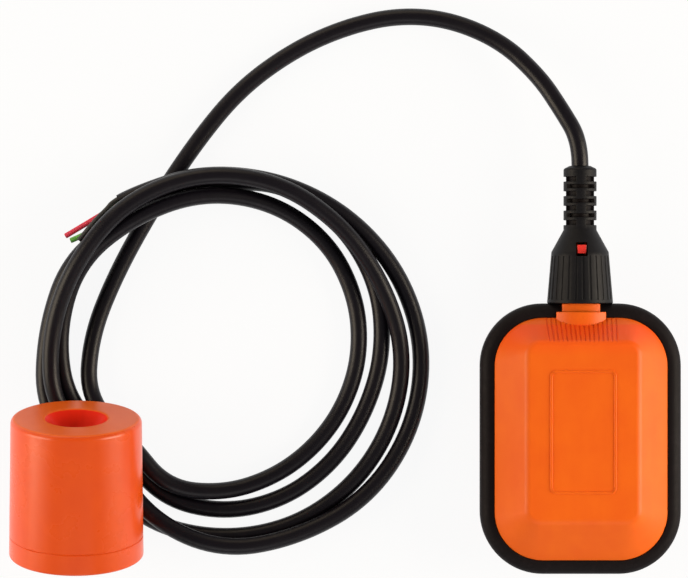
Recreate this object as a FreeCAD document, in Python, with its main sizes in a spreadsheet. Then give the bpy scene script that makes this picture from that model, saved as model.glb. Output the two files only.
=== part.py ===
import FreeCAD, Part
import math
import os
import re
import Sketcher

# A tethered float switch: an orange float with a black rim lies on its back, its cable leaves
# through a slotted boot, runs in a wide bow and lies in a loose coil of four turns. The
# counterweight that slides on the cable in use leans on the coil, taken off.
# Frame: millimetres, +Z up, the origin at the centre of the float's rear face, +Y towards the boot.

doc = FreeCAD.newDocument("FloatSwitch")
Vector = FreeCAD.Vector

# Driving dimensions: name, value, meaning. Every piece reads these and no others.
SIZES = [
    ("float_width", 82.0, "float over its rim, across"),
    ("float_length", 110.4, "float over its rim, along the cable"),
    ("float_thickness", 40.0, "rear face to front face"),
    ("float_corner", 25.5, "corner radius of the rim"),
    ("rim_width", 5.8, "rim seen from the front"),
    ("rim_height", 13.0, "rim where it meets the shells"),
    ("rim_round", 4.5, "rounding of the rim's outer edges"),
    ("flange_reach", 3.0, "shell flange inside the rim"),
    ("flange_thickness", 1.8, "flange of one shell"),
    ("wall", 2.4, "shell wall"),
    ("plateau_width", 45.5, "flat of the front face, across"),
    ("plateau_length", 73.0, "flat of the front face, along"),
    ("plateau_shift", 3.4, "flat of the front face, moved towards the boot"),
    ("plateau_corner", 5.0, "corner radius of the flat"),
    ("plateau_round", 1.4, "rounding between flat and bevel"),
    ("panel_width", 26.9, "raised line on the flat, across"),
    ("panel_length", 50.0, "raised line on the flat, along"),
    ("panel_corner", 2.5, "corner radius of the raised line"),
    ("panel_line", 0.9, "width of the raised line"),
    ("panel_relief", 0.35, "height of the raised line"),
    ("grip_count", 13, "grooves in the bevel under the neck"),
    ("grip_pitch", 2.2, "groove to groove"),
    ("grip_width", 0.9, "one groove, across"),
    ("grip_depth", 0.5, "one groove, into the bevel"),
    ("grip_length", 8.4, "one groove, along the float"),
    ("collar_radius", 10.15, "neck collar"),
    ("collar_inset", 3.4, "front of the neck collar inside the float's end"),
    ("collar_rise", 0.7, "upright sides of the neck collar above the rim"),
    ("collar_crown", 10.8, "arched top of the neck collar above the seam"),
    ("neck_radius", 7.7, "neck inside the boot"),
    ("step_crown", 8.8, "arched top of the step between collar and boot above the seam"),
    ("neck_out", 12.8, "thick neck beyond the float's end"),
    ("snout_radius", 5.5, "thin end of the neck"),
    ("snout_out", 25.8, "tip of the neck beyond the float's end"),
    ("neck_inset", 11.2, "inner end of the neck inside the float's end"),
    ("plug_radius", 6.6, "potting in the neck"),
    ("plug_inset", 5.2, "outer end of the potting inside the float's end"),
    ("seal_radius", 5.6, "seal around the cable"),
    ("seal_out", 4.8, "outer end of the seal's chamber beyond the float's end"),
    ("cable_diameter", 7.0, "cable jacket"),
    ("cable_slip", 0.15, "gap between cable and neck"),
    ("core_diameter", 2.2, "one insulated core"),
    ("core_circle", 1.9, "cores from the cable's axis"),
    ("core_run", 4.5, "straight end of a core at its terminal"),
    ("boot_gap", 0.0, "lip of the boot beyond the float's end"),
    ("bell_radius", 13.5, "lip of the boot's bell"),
    ("bell_shoulder", 11.7, "top of the bell"),
    ("bell_length", 21.0, "bell, along"),
    ("shoulder_length", 9.0, "cone above the bell"),
    ("relief_radius", 6.75, "slotted bend relief"),
    ("relief_length", 26.2, "bend relief, along"),
    ("relief_round", 1.2, "rounding of the boot's mouth"),
    ("relief_core", 4.4, "wall left around the cable in a slot"),
    ("slot_pitch", 5.93, "slot to slot of one kind"),
    ("side_slot_first", 3.0, "first side slot above the cone"),
    ("side_slot_width", 2.0, "side slot, along"),
    ("side_slot_web", 3.8, "bridge between the side slots"),
    ("side_slot_count", 4, "pairs of side slots"),
    ("side_slot_skin", 1.2, "skin left across a side slot at the mould's parting plane"),
    ("side_slot_notch", 1.0, "open notch of a side slot in the relief's outline"),
    ("face_slot_width", 1.6, "face slot, along"),
    ("face_slot_reach", 5.7, "half width of a face slot"),
    ("face_slot_web", 4.0, "bridge between the face slots"),
    ("face_slot_count", 3, "pairs of face slots"),
    ("flute_count", 28, "flutes around the bell"),
    ("flute_width", 1.1, "one flute, across"),
    ("flute_depth", 0.4, "one flute, into the bell"),
    ("flute_margin", 1.6, "plain band below and above the flutes"),
    ("tab_width", 3.7, "latch tab, across"),
    ("tab_length", 3.5, "latch tab, along"),
    ("tab_height", 3.4, "latch tab, in depth"),
    ("tab_out", 22.1, "latch tab beyond the lip of the boot"),
    ("tab_top", 10.7, "face of the latch tab above the seam"),
    ("window_width", 4.7, "latch window, across"),
    ("window_length", 5.7, "latch window, along"),
    ("spring_gauge", 0.3, "leaf under the latch tab"),
    ("ball_radius", 7.0, "steel ball"),
    ("ball_height", 1.0, "ball centre above the seam"),
    ("ball_start", -32.0, "ball centre at rest, from the float's centre"),
    ("ball_travel", 16.0, "ball's way along the track"),
    ("ball_gap", 0.3, "gap between ball and track"),
    ("track_rail", 4.0, "inner edge of a rail from the middle"),
    ("rail_width", 1.2, "one rail"),
    ("rail_gap", 0.12, "ball above the rails"),
    ("frame_wall", 1.7, "side wall of the frame"),
    ("frame_floor", 1.6, "floor of the frame"),
    ("frame_rise", 6.5, "top of the frame above the seam"),
    ("track_floor", 6.2, "floor of the track below the seam"),
    ("pivot_place", 0.0, "lever pivot from the float's centre"),
    ("pivot_height", 3.5, "lever pivot above the seam"),
    ("pivot_radius", 1.0, "lever pin"),
    ("pivot_slip", 0.05, "running gap of the lever on its pin"),
    ("lever_width", 12.0, "lever, across"),
    ("lever_gauge", 1.8, "lever arm"),
    ("lever_hub", 3.0, "hub of the lever"),
    ("lever_swing", 8.6, "degrees that the lever tilts"),
    ("cam_gap", 0.2, "gap between ball and cam"),
    ("cam_tip", 1.2, "cam beyond the ball's place at rest"),
    ("cam_root", 3.0, "cam beyond the end of the ball's way"),
    ("nose_reach", 7.5, "lever nose from its pivot"),
    ("nose_radius", 1.5, "rounding of the nose"),
    ("nose_drop", 0.2, "nose centre below the pivot"),
    ("switch_start", 1.5, "microswitch from the float's centre"),
    ("switch_length", 27.8, "microswitch, along"),
    ("switch_height", 15.9, "microswitch, in depth"),
    ("switch_width", 10.3, "microswitch, across"),
    ("switch_top", 0.2, "top of the microswitch above the seam"),
    ("switch_wall", 1.4, "wall of the microswitch"),
    ("switch_sole", 5.1, "thick bottom of the microswitch"),
    ("switch_fit", 0.05, "gap between microswitch and frame"),
    ("mount_inset", 3.1, "mounting hole from the end of the microswitch"),
    ("mount_rise", 2.5, "mounting hole above the bottom of the microswitch"),
    ("mount_radius", 1.5, "mounting hole"),
    ("pin_slip", 0.05, "gap between pin and mounting hole"),
    ("plunger_length", 2.4, "plunger, along"),
    ("plunger_width", 3.0, "plunger, across"),
    ("plunger_slip", 0.1, "gap around the plunger"),
    ("plunger_out", 1.5, "plunger above the microswitch"),
    ("plunger_foot", 0.55, "foot of the plunger beyond its stem"),
    ("plunger_travel", 1.12, "way of the plunger"),
    ("strip_gauge", 0.8, "terminal strip"),
    ("strip_width", 4.8, "terminal strip, across"),
    ("strip_out", 3.7, "terminal beyond the microswitch"),
    ("blade_gauge", 0.4, "contact blade"),
    ("blade_width", 4.0, "contact blade, across"),
    ("blade_bead", 0.25, "bead across the blade's root"),
    ("blade_slip", 0.05, "gap between the bead and its post"),
    ("blade_drop", 3.8, "blade below the microswitch's top wall"),
    ("rivet_radius", 1.3, "silver contact"),
    ("boss_radius", 3.0, "screw boss in the rear shell"),
    ("boss_side", 12.3, "screw boss from the middle"),
    ("boss_ahead", 2.0, "lower pair of bosses beyond the ball's place at rest"),
    ("boss_inset", 5.3, "upper pair of bosses from the end of the microswitch"),
    ("screw_radius", 1.1, "screw shank"),
    ("screw_slip", 0.05, "gap around the shank"),
    ("screw_length", 8.0, "screw shank"),
    ("screw_head", 2.2, "screw head radius"),
    ("screw_cap", 1.5, "screw head height"),
    ("weight_base", 27.3, "counterweight radius at its base"),
    ("weight_mouth", 26.4, "counterweight radius at its mouth"),
    ("weight_length", 58.0, "counterweight"),
    ("weight_wall", 2.5, "counterweight wall"),
    ("weight_round", 1.4, "rounding of the mouth's edge"),
    ("cap_height", 6.6, "base cap"),
    ("cap_spigot", 3.0, "part of the cap inside the shell"),
    ("cap_groove", 0.35, "groove between cap and shell"),
    ("cap_slip", 0.05, "gap between the cap and what it fits into"),
    ("funnel_radius", 12.8, "rim of the funnel"),
    ("funnel_depth", 9.5, "funnel"),
    ("bore_radius", 6.2, "bore for the cable"),
    ("bore_wall", 1.8, "tube around the bore"),
    ("grip_bore", 3.75, "bore of the grip ring"),
    ("grip_ring_length", 10.0, "grip ring"),
    ("grip_teeth", 8, "splits in the grip ring"),
    ("ballast_length", 30.0, "iron ring"),
    ("ballast_fit", 0.3, "gap around the iron ring"),
    ("weight_rib", 1.6, "rib that holds the iron ring"),
    ("weight_ribs", 6, "ribs inside the counterweight"),
    ("weight_place_x", -205.4, "centre of the base, across"),
    ("weight_place_y", -46.9, "centre of the base, along"),
    ("weight_lean", 14.4, "degrees that the mouth is raised"),
    ("weight_turn", 1.1, "degrees that the mouth is turned to the float"),
    ("coil_centre_x", -142.9, "middle of the coil, across"),
    ("coil_centre_y", 31.7, "middle of the coil, along"),
]

# Places along the float that follow from the sizes.
PLACES = [
    ("neck_start", "float_length / 2 - neck_inset"),
    ("plug_end", "float_length / 2 - plug_inset"),
    ("collar_end", "float_length / 2 - collar_inset"),
    ("boot_start", "float_length / 2 + boot_gap"),
    ("seal_end", "float_length / 2 + seal_out"),
    ("neck_end", "float_length / 2 + neck_out"),
    ("snout_end", "float_length / 2 + snout_out"),
    ("tab_place", "float_length / 2 + boot_gap + tab_out"),
    ("boss_low", "ball_start + boss_ahead"),
    ("boss_high", "switch_start + switch_length - boss_inset"),
]

sizes = doc.addObject("Spreadsheet::Sheet", "Size")
for row, (name, number, meaning) in enumerate(SIZES, start=1):
    sizes.set(f"A{row}", name)
    sizes.set(f"B{row}", str(number))
    sizes.setAlias(f"B{row}", name)
    sizes.set(f"C{row}", meaning)
for row, (name, formula) in enumerate(PLACES, start=len(SIZES) + 1):
    sizes.set(f"A{row}", name)
    sizes.set(f"B{row}", "=" + formula)
    sizes.setAlias(f"B{row}", name)
doc.recompute()

NAMES = {name for name, *rest in SIZES + PLACES}
WORD = re.compile(r"[a-z][a-z_]+")


def linked(text):
    """The expression with each name of the sheet made a reference to its cell."""
    return WORD.sub(lambda found: ("Size." if found.group(0) in NAMES else "") + found.group(0), text)


def value(text):
    return float(sizes.evalExpression(text))


def bind(thing, **expressions):
    """Ties properties of an object to expressions over the sheet."""
    for name, text in expressions.items():
        thing.setExpression(name.replace("__", "."), linked(text))


# Helpers for bodies and their sketches

def new_body(label):
    body = doc.addObject("PartDesign::Body", label)
    body.Label = label
    return body


def at_seam(thing):
    """Sets a piece that is drawn about the seam plane at its height above the rear face."""
    bind(thing, Placement__Base__z="float_thickness / 2")
    return thing


def new_sketch(body, role, offset="0"):
    sketch = body.newObject("Sketcher::SketchObject", body.Label + "_sketch")
    plane = next(item for item in body.Origin.OriginFeatures if item.Role == role)
    sketch.AttachmentSupport = [(plane, "")]
    sketch.MapMode = "FlatFace"
    if offset != "0":
        bind(sketch, AttachmentOffset__Base__z=offset)
    return sketch


def hold(sketch, geometry, point, axis, text):
    """Places one point of a sketch along one axis by an expression."""
    on_axis = {"DistanceX": -2, "DistanceY": -1}[axis]
    if text == "0":
        sketch.addConstraint(Sketcher.Constraint("PointOnObject", geometry, point, on_axis))
        return
    number = sketch.addConstraint(Sketcher.Constraint(axis, -1, 1, geometry, point, value(text)))
    sketch.setExpression(f"Constraints[{number}]", linked(text))


def polygon(sketch, corners):
    """A closed outline of straight lines through corners given as expressions."""
    first = sketch.GeometryCount
    places = [Vector(value(x), value(y), 0) for x, y in corners]
    count = len(corners)
    for number, place in enumerate(places):
        sketch.addGeometry(Part.LineSegment(place, places[(number + 1) % count]), False)
    for number in range(count):
        following = first + (number + 1) % count
        sketch.addConstraint(Sketcher.Constraint("Coincident", first + number, 2, following, 1))
    for number, (x, y) in enumerate(corners):
        hold(sketch, first + number, 1, "DistanceX", x)
        hold(sketch, first + number, 1, "DistanceY", y)


def box_outline(sketch, left, right, bottom, top):
    polygon(sketch, [(left, bottom), (right, bottom), (right, top), (left, top)])


def closed_path(sketch, spots, bends):
    """A closed outline through spots; a side named in bends is an arc through the point given there."""
    first = sketch.GeometryCount
    for number, start in enumerate(spots):
        end = spots[(number + 1) % len(spots)]
        if number in bends:
            sketch.addGeometry(Part.Arc(start, bends[number], end), False)
        else:
            sketch.addGeometry(Part.LineSegment(start, end), False)
    for number in range(first, sketch.GeometryCount):
        sketch.addConstraint(Sketcher.Constraint("Block", number))


def disc(sketch, x, y, radius):
    circle = Part.Circle(Vector(value(x), value(y), 0), Vector(0, 0, 1), value(radius))
    number = sketch.addGeometry(circle, False)
    hold(sketch, number, 3, "DistanceX", x)
    hold(sketch, number, 3, "DistanceY", y)
    size = sketch.addConstraint(Sketcher.Constraint("Radius", number, value(radius)))
    sketch.setExpression(f"Constraints[{size}]", linked(radius))


def rounded_box(sketch, left, right, bottom, top, radius):
    """A box outline with four equal rounded corners, sides and radius given as expressions."""
    first = sketch.GeometryCount
    west, east, south, north, bend = (value(text) for text in (left, right, bottom, top, radius))
    corners = [(east, south, -90), (east, north, 0), (west, north, 90), (west, south, 180)]
    middles = []
    for x, y, turn in corners:
        inward = Vector(-bend if x == east else bend, -bend if y == north else bend, 0)
        middles.append((Vector(x, y, 0) + inward, math.radians(turn)))
    for number, (middle, turn) in enumerate(middles):
        earlier, earlier_turn = middles[number - 1]
        start = earlier + Vector(math.cos(turn), math.sin(turn), 0) * bend
        end = middle + Vector(math.cos(turn), math.sin(turn), 0) * bend
        sketch.addGeometry(Part.LineSegment(start, end), False)
        circle = Part.Circle(middle, Vector(0, 0, 1), bend)
        sketch.addGeometry(Part.ArcOfCircle(circle, turn, turn + math.pi / 2), False)
    for number in range(8):
        following = first + (number + 1) % 8
        sketch.addConstraint(Sketcher.Constraint("Tangent", first + number, 2, following, 1))
    for number, kind in enumerate(["Horizontal", "Vertical", "Horizontal", "Vertical"]):
        sketch.addConstraint(Sketcher.Constraint(kind, first + 2 * number))
    for number in (3, 5, 7):
        sketch.addConstraint(Sketcher.Constraint("Equal", first + 1, first + number))
    size = sketch.addConstraint(Sketcher.Constraint("Radius", first + 1, bend))
    sketch.setExpression(f"Constraints[{size}]", linked(radius))
    hold(sketch, first, 1, "DistanceY", bottom)
    hold(sketch, first + 2, 1, "DistanceX", right)
    hold(sketch, first + 4, 1, "DistanceY", top)
    hold(sketch, first + 6, 1, "DistanceX", left)


def feature(body, kind, sketch=None, **expressions):
    made = body.newObject("PartDesign::" + kind, body.Label + "_" + kind.lower())
    if sketch is not None:
        made.Profile = sketch
    bind(made, **expressions)
    body.Tip = made
    return made


def pad(body, sketch, length, both_ways=False):
    made = feature(body, "Pad", sketch, Length=length)
    made.Midplane = both_ways
    doc.recompute()
    return made


def pocket(body, sketch, length, both_ways=False, along_normal=True):
    """Cuts a sketch into the body, along the sketch's normal unless told otherwise."""
    made = feature(body, "Pocket", sketch, Length=length)
    made.Midplane = both_ways
    made.Reversed = along_normal and not both_ways
    before = body_volume(body, made)
    doc.recompute()
    if made.Shape.Volume >= before - 1e-6:
        raise RuntimeError(body.Label + ": a pocket cuts nothing")
    return made


def body_volume(body, made):
    return made.BaseFeature.Shape.Volume if made.BaseFeature else 0.0


def turned(body, kind, sketch, angle=360.0, backwards=False):
    """Turns a sketch about its own vertical axis."""
    made = feature(body, kind, sketch)
    made.ReferenceAxis = (sketch, ["V_Axis"])
    made.Angle = angle
    made.Reversed = backwards
    doc.recompute()
    return made


def loft(body, kind, first, second):
    made = feature(body, kind, first)
    made.Sections = [second]
    made.Ruled = True
    doc.recompute()
    return made


def rounding(body, radius, chosen):
    """Rounds the edges of the body's last feature for which chosen(edge) holds."""
    last = body.Tip
    names = [f"Edge{number}" for number, edge in enumerate(last.Shape.Edges, start=1) if chosen(edge)]
    made = feature(body, "Fillet", Radius=radius)
    made.Base = (last, names)
    doc.recompute()
    return made


def repeated(body, kind, source, direction, count, **expressions):
    made = feature(body, kind, Occurrences=count, **expressions)
    made.Originals = [source]
    if kind == "PolarPattern":
        made.Axis = direction
        made.Angle = 360.0
    else:
        made.Direction = direction
    body.Tip = made
    doc.recompute()
    return made


def origin_axis(body, role):
    return (next(item for item in body.Origin.OriginFeatures if item.Role == role), [""])


def solid_feature(label, shape, placement=None):
    piece = doc.addObject("Part::Feature", label)
    piece.Label = label
    piece.Shape = shape
    if placement is not None:
        piece.Placement = placement
    return piece


# Outlines of the float

def float_outline(inset):
    """The float's outline, drawn in by an expression."""
    across = f"(float_width / 2 - ({inset}))"
    along = f"(float_length / 2 - ({inset}))"
    return "-" + across, across, "-" + along, along, f"float_corner - ({inset})"


def plateau_outline(inset):
    across = f"(plateau_width / 2 - ({inset}))"
    along = f"(plateau_length / 2 - ({inset}))"
    low, high = f"plateau_shift - {along}", f"plateau_shift + {along}"
    return "-" + across, across, low, high, f"plateau_corner - ({inset})"


# The bevel's slope sets how far the wall's inside is drawn in at the flat and let down at the side.
PLATEAU_INSET = "wall * 0.45"
SHOULDER_DROP = "wall * 0.42"


def neck_profile(sketch, grow="0"):
    """Half section of the neck: collar, thick neck and snout."""
    polygon(sketch, [
        ("0", "neck_start"),
        (f"collar_radius + {grow}", "neck_start"),
        (f"collar_radius + {grow}", "collar_end"),
        (f"neck_radius + {grow}", "collar_end"),
        (f"neck_radius + {grow}", "neck_end"),
        (f"snout_radius + {grow}", "neck_end"),
        (f"snout_radius + {grow}", "snout_end"),
        ("0", "snout_end"),
    ])


# The neck's two blocks outside the boot: half width, arched top, inner and outer end.
NECK_BLOCKS = [
    ("collar_radius", "collar_crown", "neck_start", "collar_end"),
    ("neck_radius", "step_crown", "collar_end", "boot_start"),
]


def neck_block(body, half, crown, start, end):
    """A block of the neck: upright sides that clear the rim, and an arched top."""
    side, wall, top = value(half), value("rim_height / 2 + collar_rise"), value(crown)
    sketch = new_sketch(body, "XZ_Plane", f"-({end})")
    spots = [Vector(-side, 0, 0), Vector(side, 0, 0), Vector(side, wall, 0), Vector(-side, wall, 0)]
    closed_path(sketch, spots, {2: Vector(0, top, 0)})
    pad(body, sketch, f"{end} - {start}")


def float_shell(label, front):
    """One half of the float, drawn from the seam outwards along +Z."""
    body = new_body(label)
    flange = new_sketch(body, "XY_Plane")
    rounded_box(flange, *float_outline("rim_width - flange_reach"))
    pad(body, flange, "flange_thickness")
    side = new_sketch(body, "XY_Plane")
    rounded_box(side, *float_outline("rim_width"))
    pad(body, side, "rim_height / 2")
    shoulder = new_sketch(body, "XY_Plane", "rim_height / 2")
    rounded_box(shoulder, *float_outline("rim_width"))
    plateau = new_sketch(body, "XY_Plane", "float_thickness / 2")
    rounded_box(plateau, *plateau_outline("0"))
    loft(body, "AdditiveLoft", shoulder, plateau)
    top = value("float_thickness / 2")
    rounding(body, "plateau_round", lambda edge: edge.BoundBox.ZMin > top - 1e-3)
    if front:
        grip_grooves(body)
        raised_line(body)
    hollow(body)
    shell_neck(body)
    if not front:
        screw_bosses(body)
        turn_over(body)
    return at_seam(body)


def raised_line(body):
    """A narrow raised line around the middle of the front's flat."""
    line = new_sketch(body, "XY_Plane", "float_thickness / 2")
    for inset in ("0", "panel_line"):
        rounded_box(line, f"-(panel_width / 2 - {inset})", f"panel_width / 2 - {inset}",
                    f"plateau_shift - (panel_length / 2 - {inset})",
                    f"plateau_shift + panel_length / 2 - {inset}", f"panel_corner - {inset}")
    pad(body, line, "panel_relief")


def grip_grooves(body):
    """Fine grooves down the bevel below the neck, parallel to its slope."""
    top_edge = "(float_length / 2 - rim_width)"
    slope = f"((float_thickness - rim_height) / 2) / ({top_edge} - plateau_shift - plateau_length / 2)"
    low = f"({top_edge} - grip_length)"
    strip = new_sketch(body, "YZ_Plane", "-(grip_count - 1) * grip_pitch / 2")
    polygon(strip, [
        (top_edge, "rim_height / 2 - grip_depth"),
        (top_edge, "float_thickness / 2"),
        (low, "float_thickness / 2 + grip_depth"),
        (low, f"rim_height / 2 + grip_length * {slope} - grip_depth"),
    ])
    groove = pocket(body, strip, "grip_width", both_ways=True)
    axis = origin_axis(body, "X_Axis")
    repeated(body, "LinearPattern", groove, axis, "grip_count", Length="(grip_count - 1) * grip_pitch")


def hollow(body):
    inside = new_sketch(body, "XY_Plane")
    rounded_box(inside, *float_outline("rim_width + wall"))
    pocket(body, inside, f"rim_height / 2 - {SHOULDER_DROP}")
    low = new_sketch(body, "XY_Plane", f"rim_height / 2 - {SHOULDER_DROP}")
    rounded_box(low, *float_outline("rim_width + wall"))
    high = new_sketch(body, "XY_Plane", "float_thickness / 2 - wall")
    rounded_box(high, *plateau_outline(PLATEAU_INSET))
    loft(body, "SubtractiveLoft", low, high)


def shell_neck(body):
    outside = new_sketch(body, "XY_Plane")
    neck_profile(outside)
    turned(body, "Revolution", outside, 180.0, backwards=True)
    for half, crown, start, end in NECK_BLOCKS:
        neck_block(body, half, crown, start, end)
    inside = new_sketch(body, "XY_Plane")
    polygon(inside, [
        ("0", "neck_start - 20"),
        ("plug_radius", "neck_start - 20"),
        ("plug_radius", "plug_end"),
        ("seal_radius", "plug_end"),
        ("seal_radius", "seal_end"),
        ("cable_diameter / 2 + cable_slip", "seal_end"),
        ("cable_diameter / 2 + cable_slip", "snout_end + 1"),
        ("0", "snout_end + 1"),
    ])
    turned(body, "Groove", inside)


def screw_bosses(body):
    """Four bosses on the inside of the rear shell, with holes for the frame's screws."""
    height = "float_thickness / 2 - wall - track_floor - frame_floor"
    posts = new_sketch(body, "XY_Plane", "track_floor + frame_floor")
    holes = new_sketch(body, "XY_Plane", "track_floor + frame_floor")
    for side in ("-boss_side", "boss_side"):
        for place in ("boss_low", "boss_high"):
            disc(posts, side, place, "boss_radius")
            disc(holes, side, place, "screw_radius + screw_slip")
    pad(body, posts, f"{height} + wall / 2")
    pocket(body, holes, "screw_length - frame_floor + 0.4")


def turn_over(body):
    body.Placement = FreeCAD.Placement(Vector(0, 0, 0), FreeCAD.Rotation(Vector(0, 1, 0), 180))


def seam_band():
    """The black rim, moulded over the flanges of both shells and open where the neck passes."""
    body = new_body("seam_band")
    ring = new_sketch(body, "XY_Plane")
    rounded_box(ring, *float_outline("0"))
    rounded_box(ring, *float_outline("rim_width"))
    pad(body, ring, "rim_height", both_ways=True)
    outer = value("float_width / 2")
    rounding(body, "rim_round", lambda edge: on_outline(edge, outer))
    groove = new_sketch(body, "XY_Plane")
    rounded_box(groove, *float_outline("rim_width - flange_reach"))
    rounded_box(groove, *float_outline("rim_width + wall / 2"))
    pocket(body, groove, "2 * flange_thickness", both_ways=True)
    neck = new_sketch(body, "XY_Plane")
    neck_profile(neck)
    turned(body, "Groove", neck)
    for half, crown, start, end in NECK_BLOCKS:
        gap = new_sketch(body, "XZ_Plane", f"-({end})")
        box_outline(gap, "-" + half, half, "-rim_height", "rim_height")
        pocket(body, gap, f"{end} - {start}")
    return at_seam(body)


def on_outline(edge, half_width):
    """True for the upper and lower edges of the rim's outer side."""
    flat = edge.BoundBox.ZLength < 1e-6
    middle = edge.valueAt((edge.FirstParameter + edge.LastParameter) / 2)
    corner = value("float_corner")
    dx = max(abs(middle.x) - (half_width - corner), 0)
    dy = max(abs(middle.y) - (value("float_length / 2") - corner), 0)
    return flat and abs(math.hypot(dx, dy) - corner) < 0.05


# Cable entry: seal, potting, cable end and cores

def ring_about_y(label, inner, outer, start, end):
    body = new_body(label)
    section = new_sketch(body, "XY_Plane")
    polygon(section, [(inner, start), (outer, start), (outer, end), (inner, end)])
    turned(body, "Revolution", section)
    return at_seam(body)


# Each core's direction about the cable's axis, and its terminal: the strip's number and the side step
CORES = {"black": (90, "high", 0.0), "red": (210, "low", -1.6), "green": (330, "middle", 1.6)}


def core_place(colour, along):
    """Where a core lies in the cable, as a point at a distance along the float."""
    turn = math.radians(CORES[colour][0])
    reach = value("core_circle")
    return Vector(reach * math.cos(turn), along, value("float_thickness / 2") + reach * math.sin(turn))


def resin_plug():
    start = value("neck_start + 1.5")
    length = value("plug_end") - start
    seam = value("float_thickness / 2")
    shape = Part.makeCylinder(value("plug_radius"), length, Vector(0, start, seam), Vector(0, 1, 0))
    for colour in CORES:
        place = core_place(colour, start)
        shape = shape.cut(Part.makeCylinder(value("core_diameter / 2"), length, place, Vector(0, 1, 0)))
    return solid_feature("resin_plug", shape)


BOOT_MOUTH = "(boot_start + bell_length + shoulder_length + relief_length)"


def held_cable():
    """The jacketed cable inside neck and boot, from the potting to the mouth of the boot."""
    pipe = doc.addObject("Part::Cylinder", "held_cable")
    pipe.Label = "held_cable"
    pipe.Placement = FreeCAD.Placement(Vector(0, 0, 0), FreeCAD.Rotation(Vector(1, 0, 0), -90))
    bind(pipe, Radius="cable_diameter / 2", Height=f"{BOOT_MOUTH} - plug_end",
         Placement__Base__y="plug_end", Placement__Base__z="float_thickness / 2")
    return pipe


# Tubes along straight runs joined by tangent arcs

def run_and_bend(points, share=0.45, wanted=None):
    """A path of straight runs and tangent arcs through the bends of a route, and its arc radii."""
    edges = []
    radii = []
    here = points[0]
    for before, corner, after in zip(points, points[1:], points[2:]):
        arriving = (corner - before).normalize()
        leaving = (after - corner).normalize()
        half_turn = arriving.getAngle(leaving) / 2
        cut_back = share * min((corner - before).Length, (after - corner).Length)
        if wanted:
            cut_back = min(cut_back, wanted * math.tan(half_turn))
        radius = cut_back / math.tan(half_turn)
        start = corner - arriving * cut_back
        end = corner + leaving * cut_back
        inward = (leaving - arriving).normalize()
        centre = corner + inward * (radius / math.cos(half_turn))
        middle = centre - inward * radius
        edges.append(Part.LineSegment(here, start).toShape())
        edges.append(Part.Arc(start, middle, end).toShape())
        radii.append(radius)
        here = end
    edges.append(Part.LineSegment(here, points[-1]).toShape())
    return Part.Wire(edges), radii


def tube(wire, diameter):
    """A round tube along a wire that starts with a straight run."""
    first = wire.Edges[0]
    start = first.valueAt(first.FirstParameter)
    heading = first.tangentAt(first.FirstParameter)
    circle = Part.Wire(Part.Circle(start, heading, diameter / 2).toShape())
    made = wire.makePipeShell([circle], True, False)
    expected = math.pi * diameter ** 2 / 4 * wire.Length
    if abs(made.Volume / expected - 1) > 0.02:
        raise RuntimeError("a tube's volume is not its section times its length")
    return made


def inner_core(colour):
    """One core from the end of the jacket through the potting to its terminal."""
    seam = value("float_thickness / 2")
    direction, strip, side = CORES[colour]
    end = value("switch_start + switch_length + strip_out")
    target = seam + value(strip_height(strip)) + value("strip_gauge / 2")
    start = core_place(colour, value("plug_end"))
    bend_out = core_place(colour, value("neck_start - 1"))
    points = [start, bend_out, Vector(side, end + value("core_run"), target), Vector(side, end, target)]
    wire, radii = run_and_bend(points)
    return solid_feature(f"inner_core_{colour}", tube(wire, value("core_diameter")))


def strip_height(level):
    """Underside of the low, middle or high terminal strip, as an expression about the seam."""
    floor = "(switch_top - switch_height + switch_sole)"
    ceiling = "(switch_top - switch_wall)"
    return {
        "low": f"{floor} + 0.2",
        "middle": f"{ceiling} - blade_drop - 2.6",
        "high": f"{ceiling} - strip_gauge - 0.5",
    }[level]


# The boot

def strain_relief_boot():
    body = new_body("strain_relief_boot")
    side = new_sketch(body, "XY_Plane")
    polygon(side, [
        ("0", "boot_start"),
        ("bell_radius", "boot_start"),
        ("bell_shoulder", "boot_start + bell_length"),
        ("relief_radius", "boot_start + bell_length + shoulder_length"),
        ("relief_radius", BOOT_MOUTH),
        ("0", BOOT_MOUTH),
    ])
    turned(body, "Revolution", side)
    mouth = value(BOOT_MOUTH)
    rounding(body, "relief_round", lambda edge: edge.BoundBox.YMin > mouth - 1e-3)
    bell_flutes(body)
    side_slots(body)
    face_slots(body)
    latch_window(body)
    socket = new_sketch(body, "XY_Plane")
    polygon(socket, [
        ("0", "boot_start - 1"),
        ("neck_radius", "boot_start - 1"),
        ("neck_radius", "neck_end"),
        ("snout_radius", "neck_end"),
        ("snout_radius", "snout_end"),
        ("cable_diameter / 2", "snout_end"),
        ("cable_diameter / 2", BOOT_MOUTH + " + 1"),
        ("0", BOOT_MOUTH + " + 1"),
    ])
    turned(body, "Groove", socket)
    return at_seam(body)


def bell_flutes(body):
    """Shallow flutes along the bell, repeated about the cable's axis."""
    low = "(boot_start + flute_margin)"
    high = "(boot_start + bell_length - flute_margin)"
    taper = "((bell_radius - bell_shoulder) / bell_length)"
    low_radius = f"(bell_radius - flute_margin * {taper})"
    high_radius = f"(bell_shoulder + flute_margin * {taper})"
    strip = new_sketch(body, "YZ_Plane")
    polygon(strip, [
        (low, f"{low_radius} - flute_depth"),
        (high, f"{high_radius} - flute_depth"),
        (high, "bell_radius + 1"),
        (low, "bell_radius + 1"),
    ])
    flute = pocket(body, strip, "flute_width", both_ways=True)
    repeated(body, "PolarPattern", flute, origin_axis(body, "Y_Axis"), "flute_count")


def slot_openings(sketch, path, bends, turned_over):
    """The same opening left and right of a bridge."""
    for side in (1, -1):
        spots = [place((across * side, along), turned_over) for across, along in path]
        middles = {number: place((x * side, y), turned_over) for number, (x, y) in bends.items()}
        closed_path(sketch, spots, middles)


def place(spot, turned_over):
    x, y = spot
    return Vector(y, x, 0) if turned_over else Vector(x, y, 0)


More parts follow.
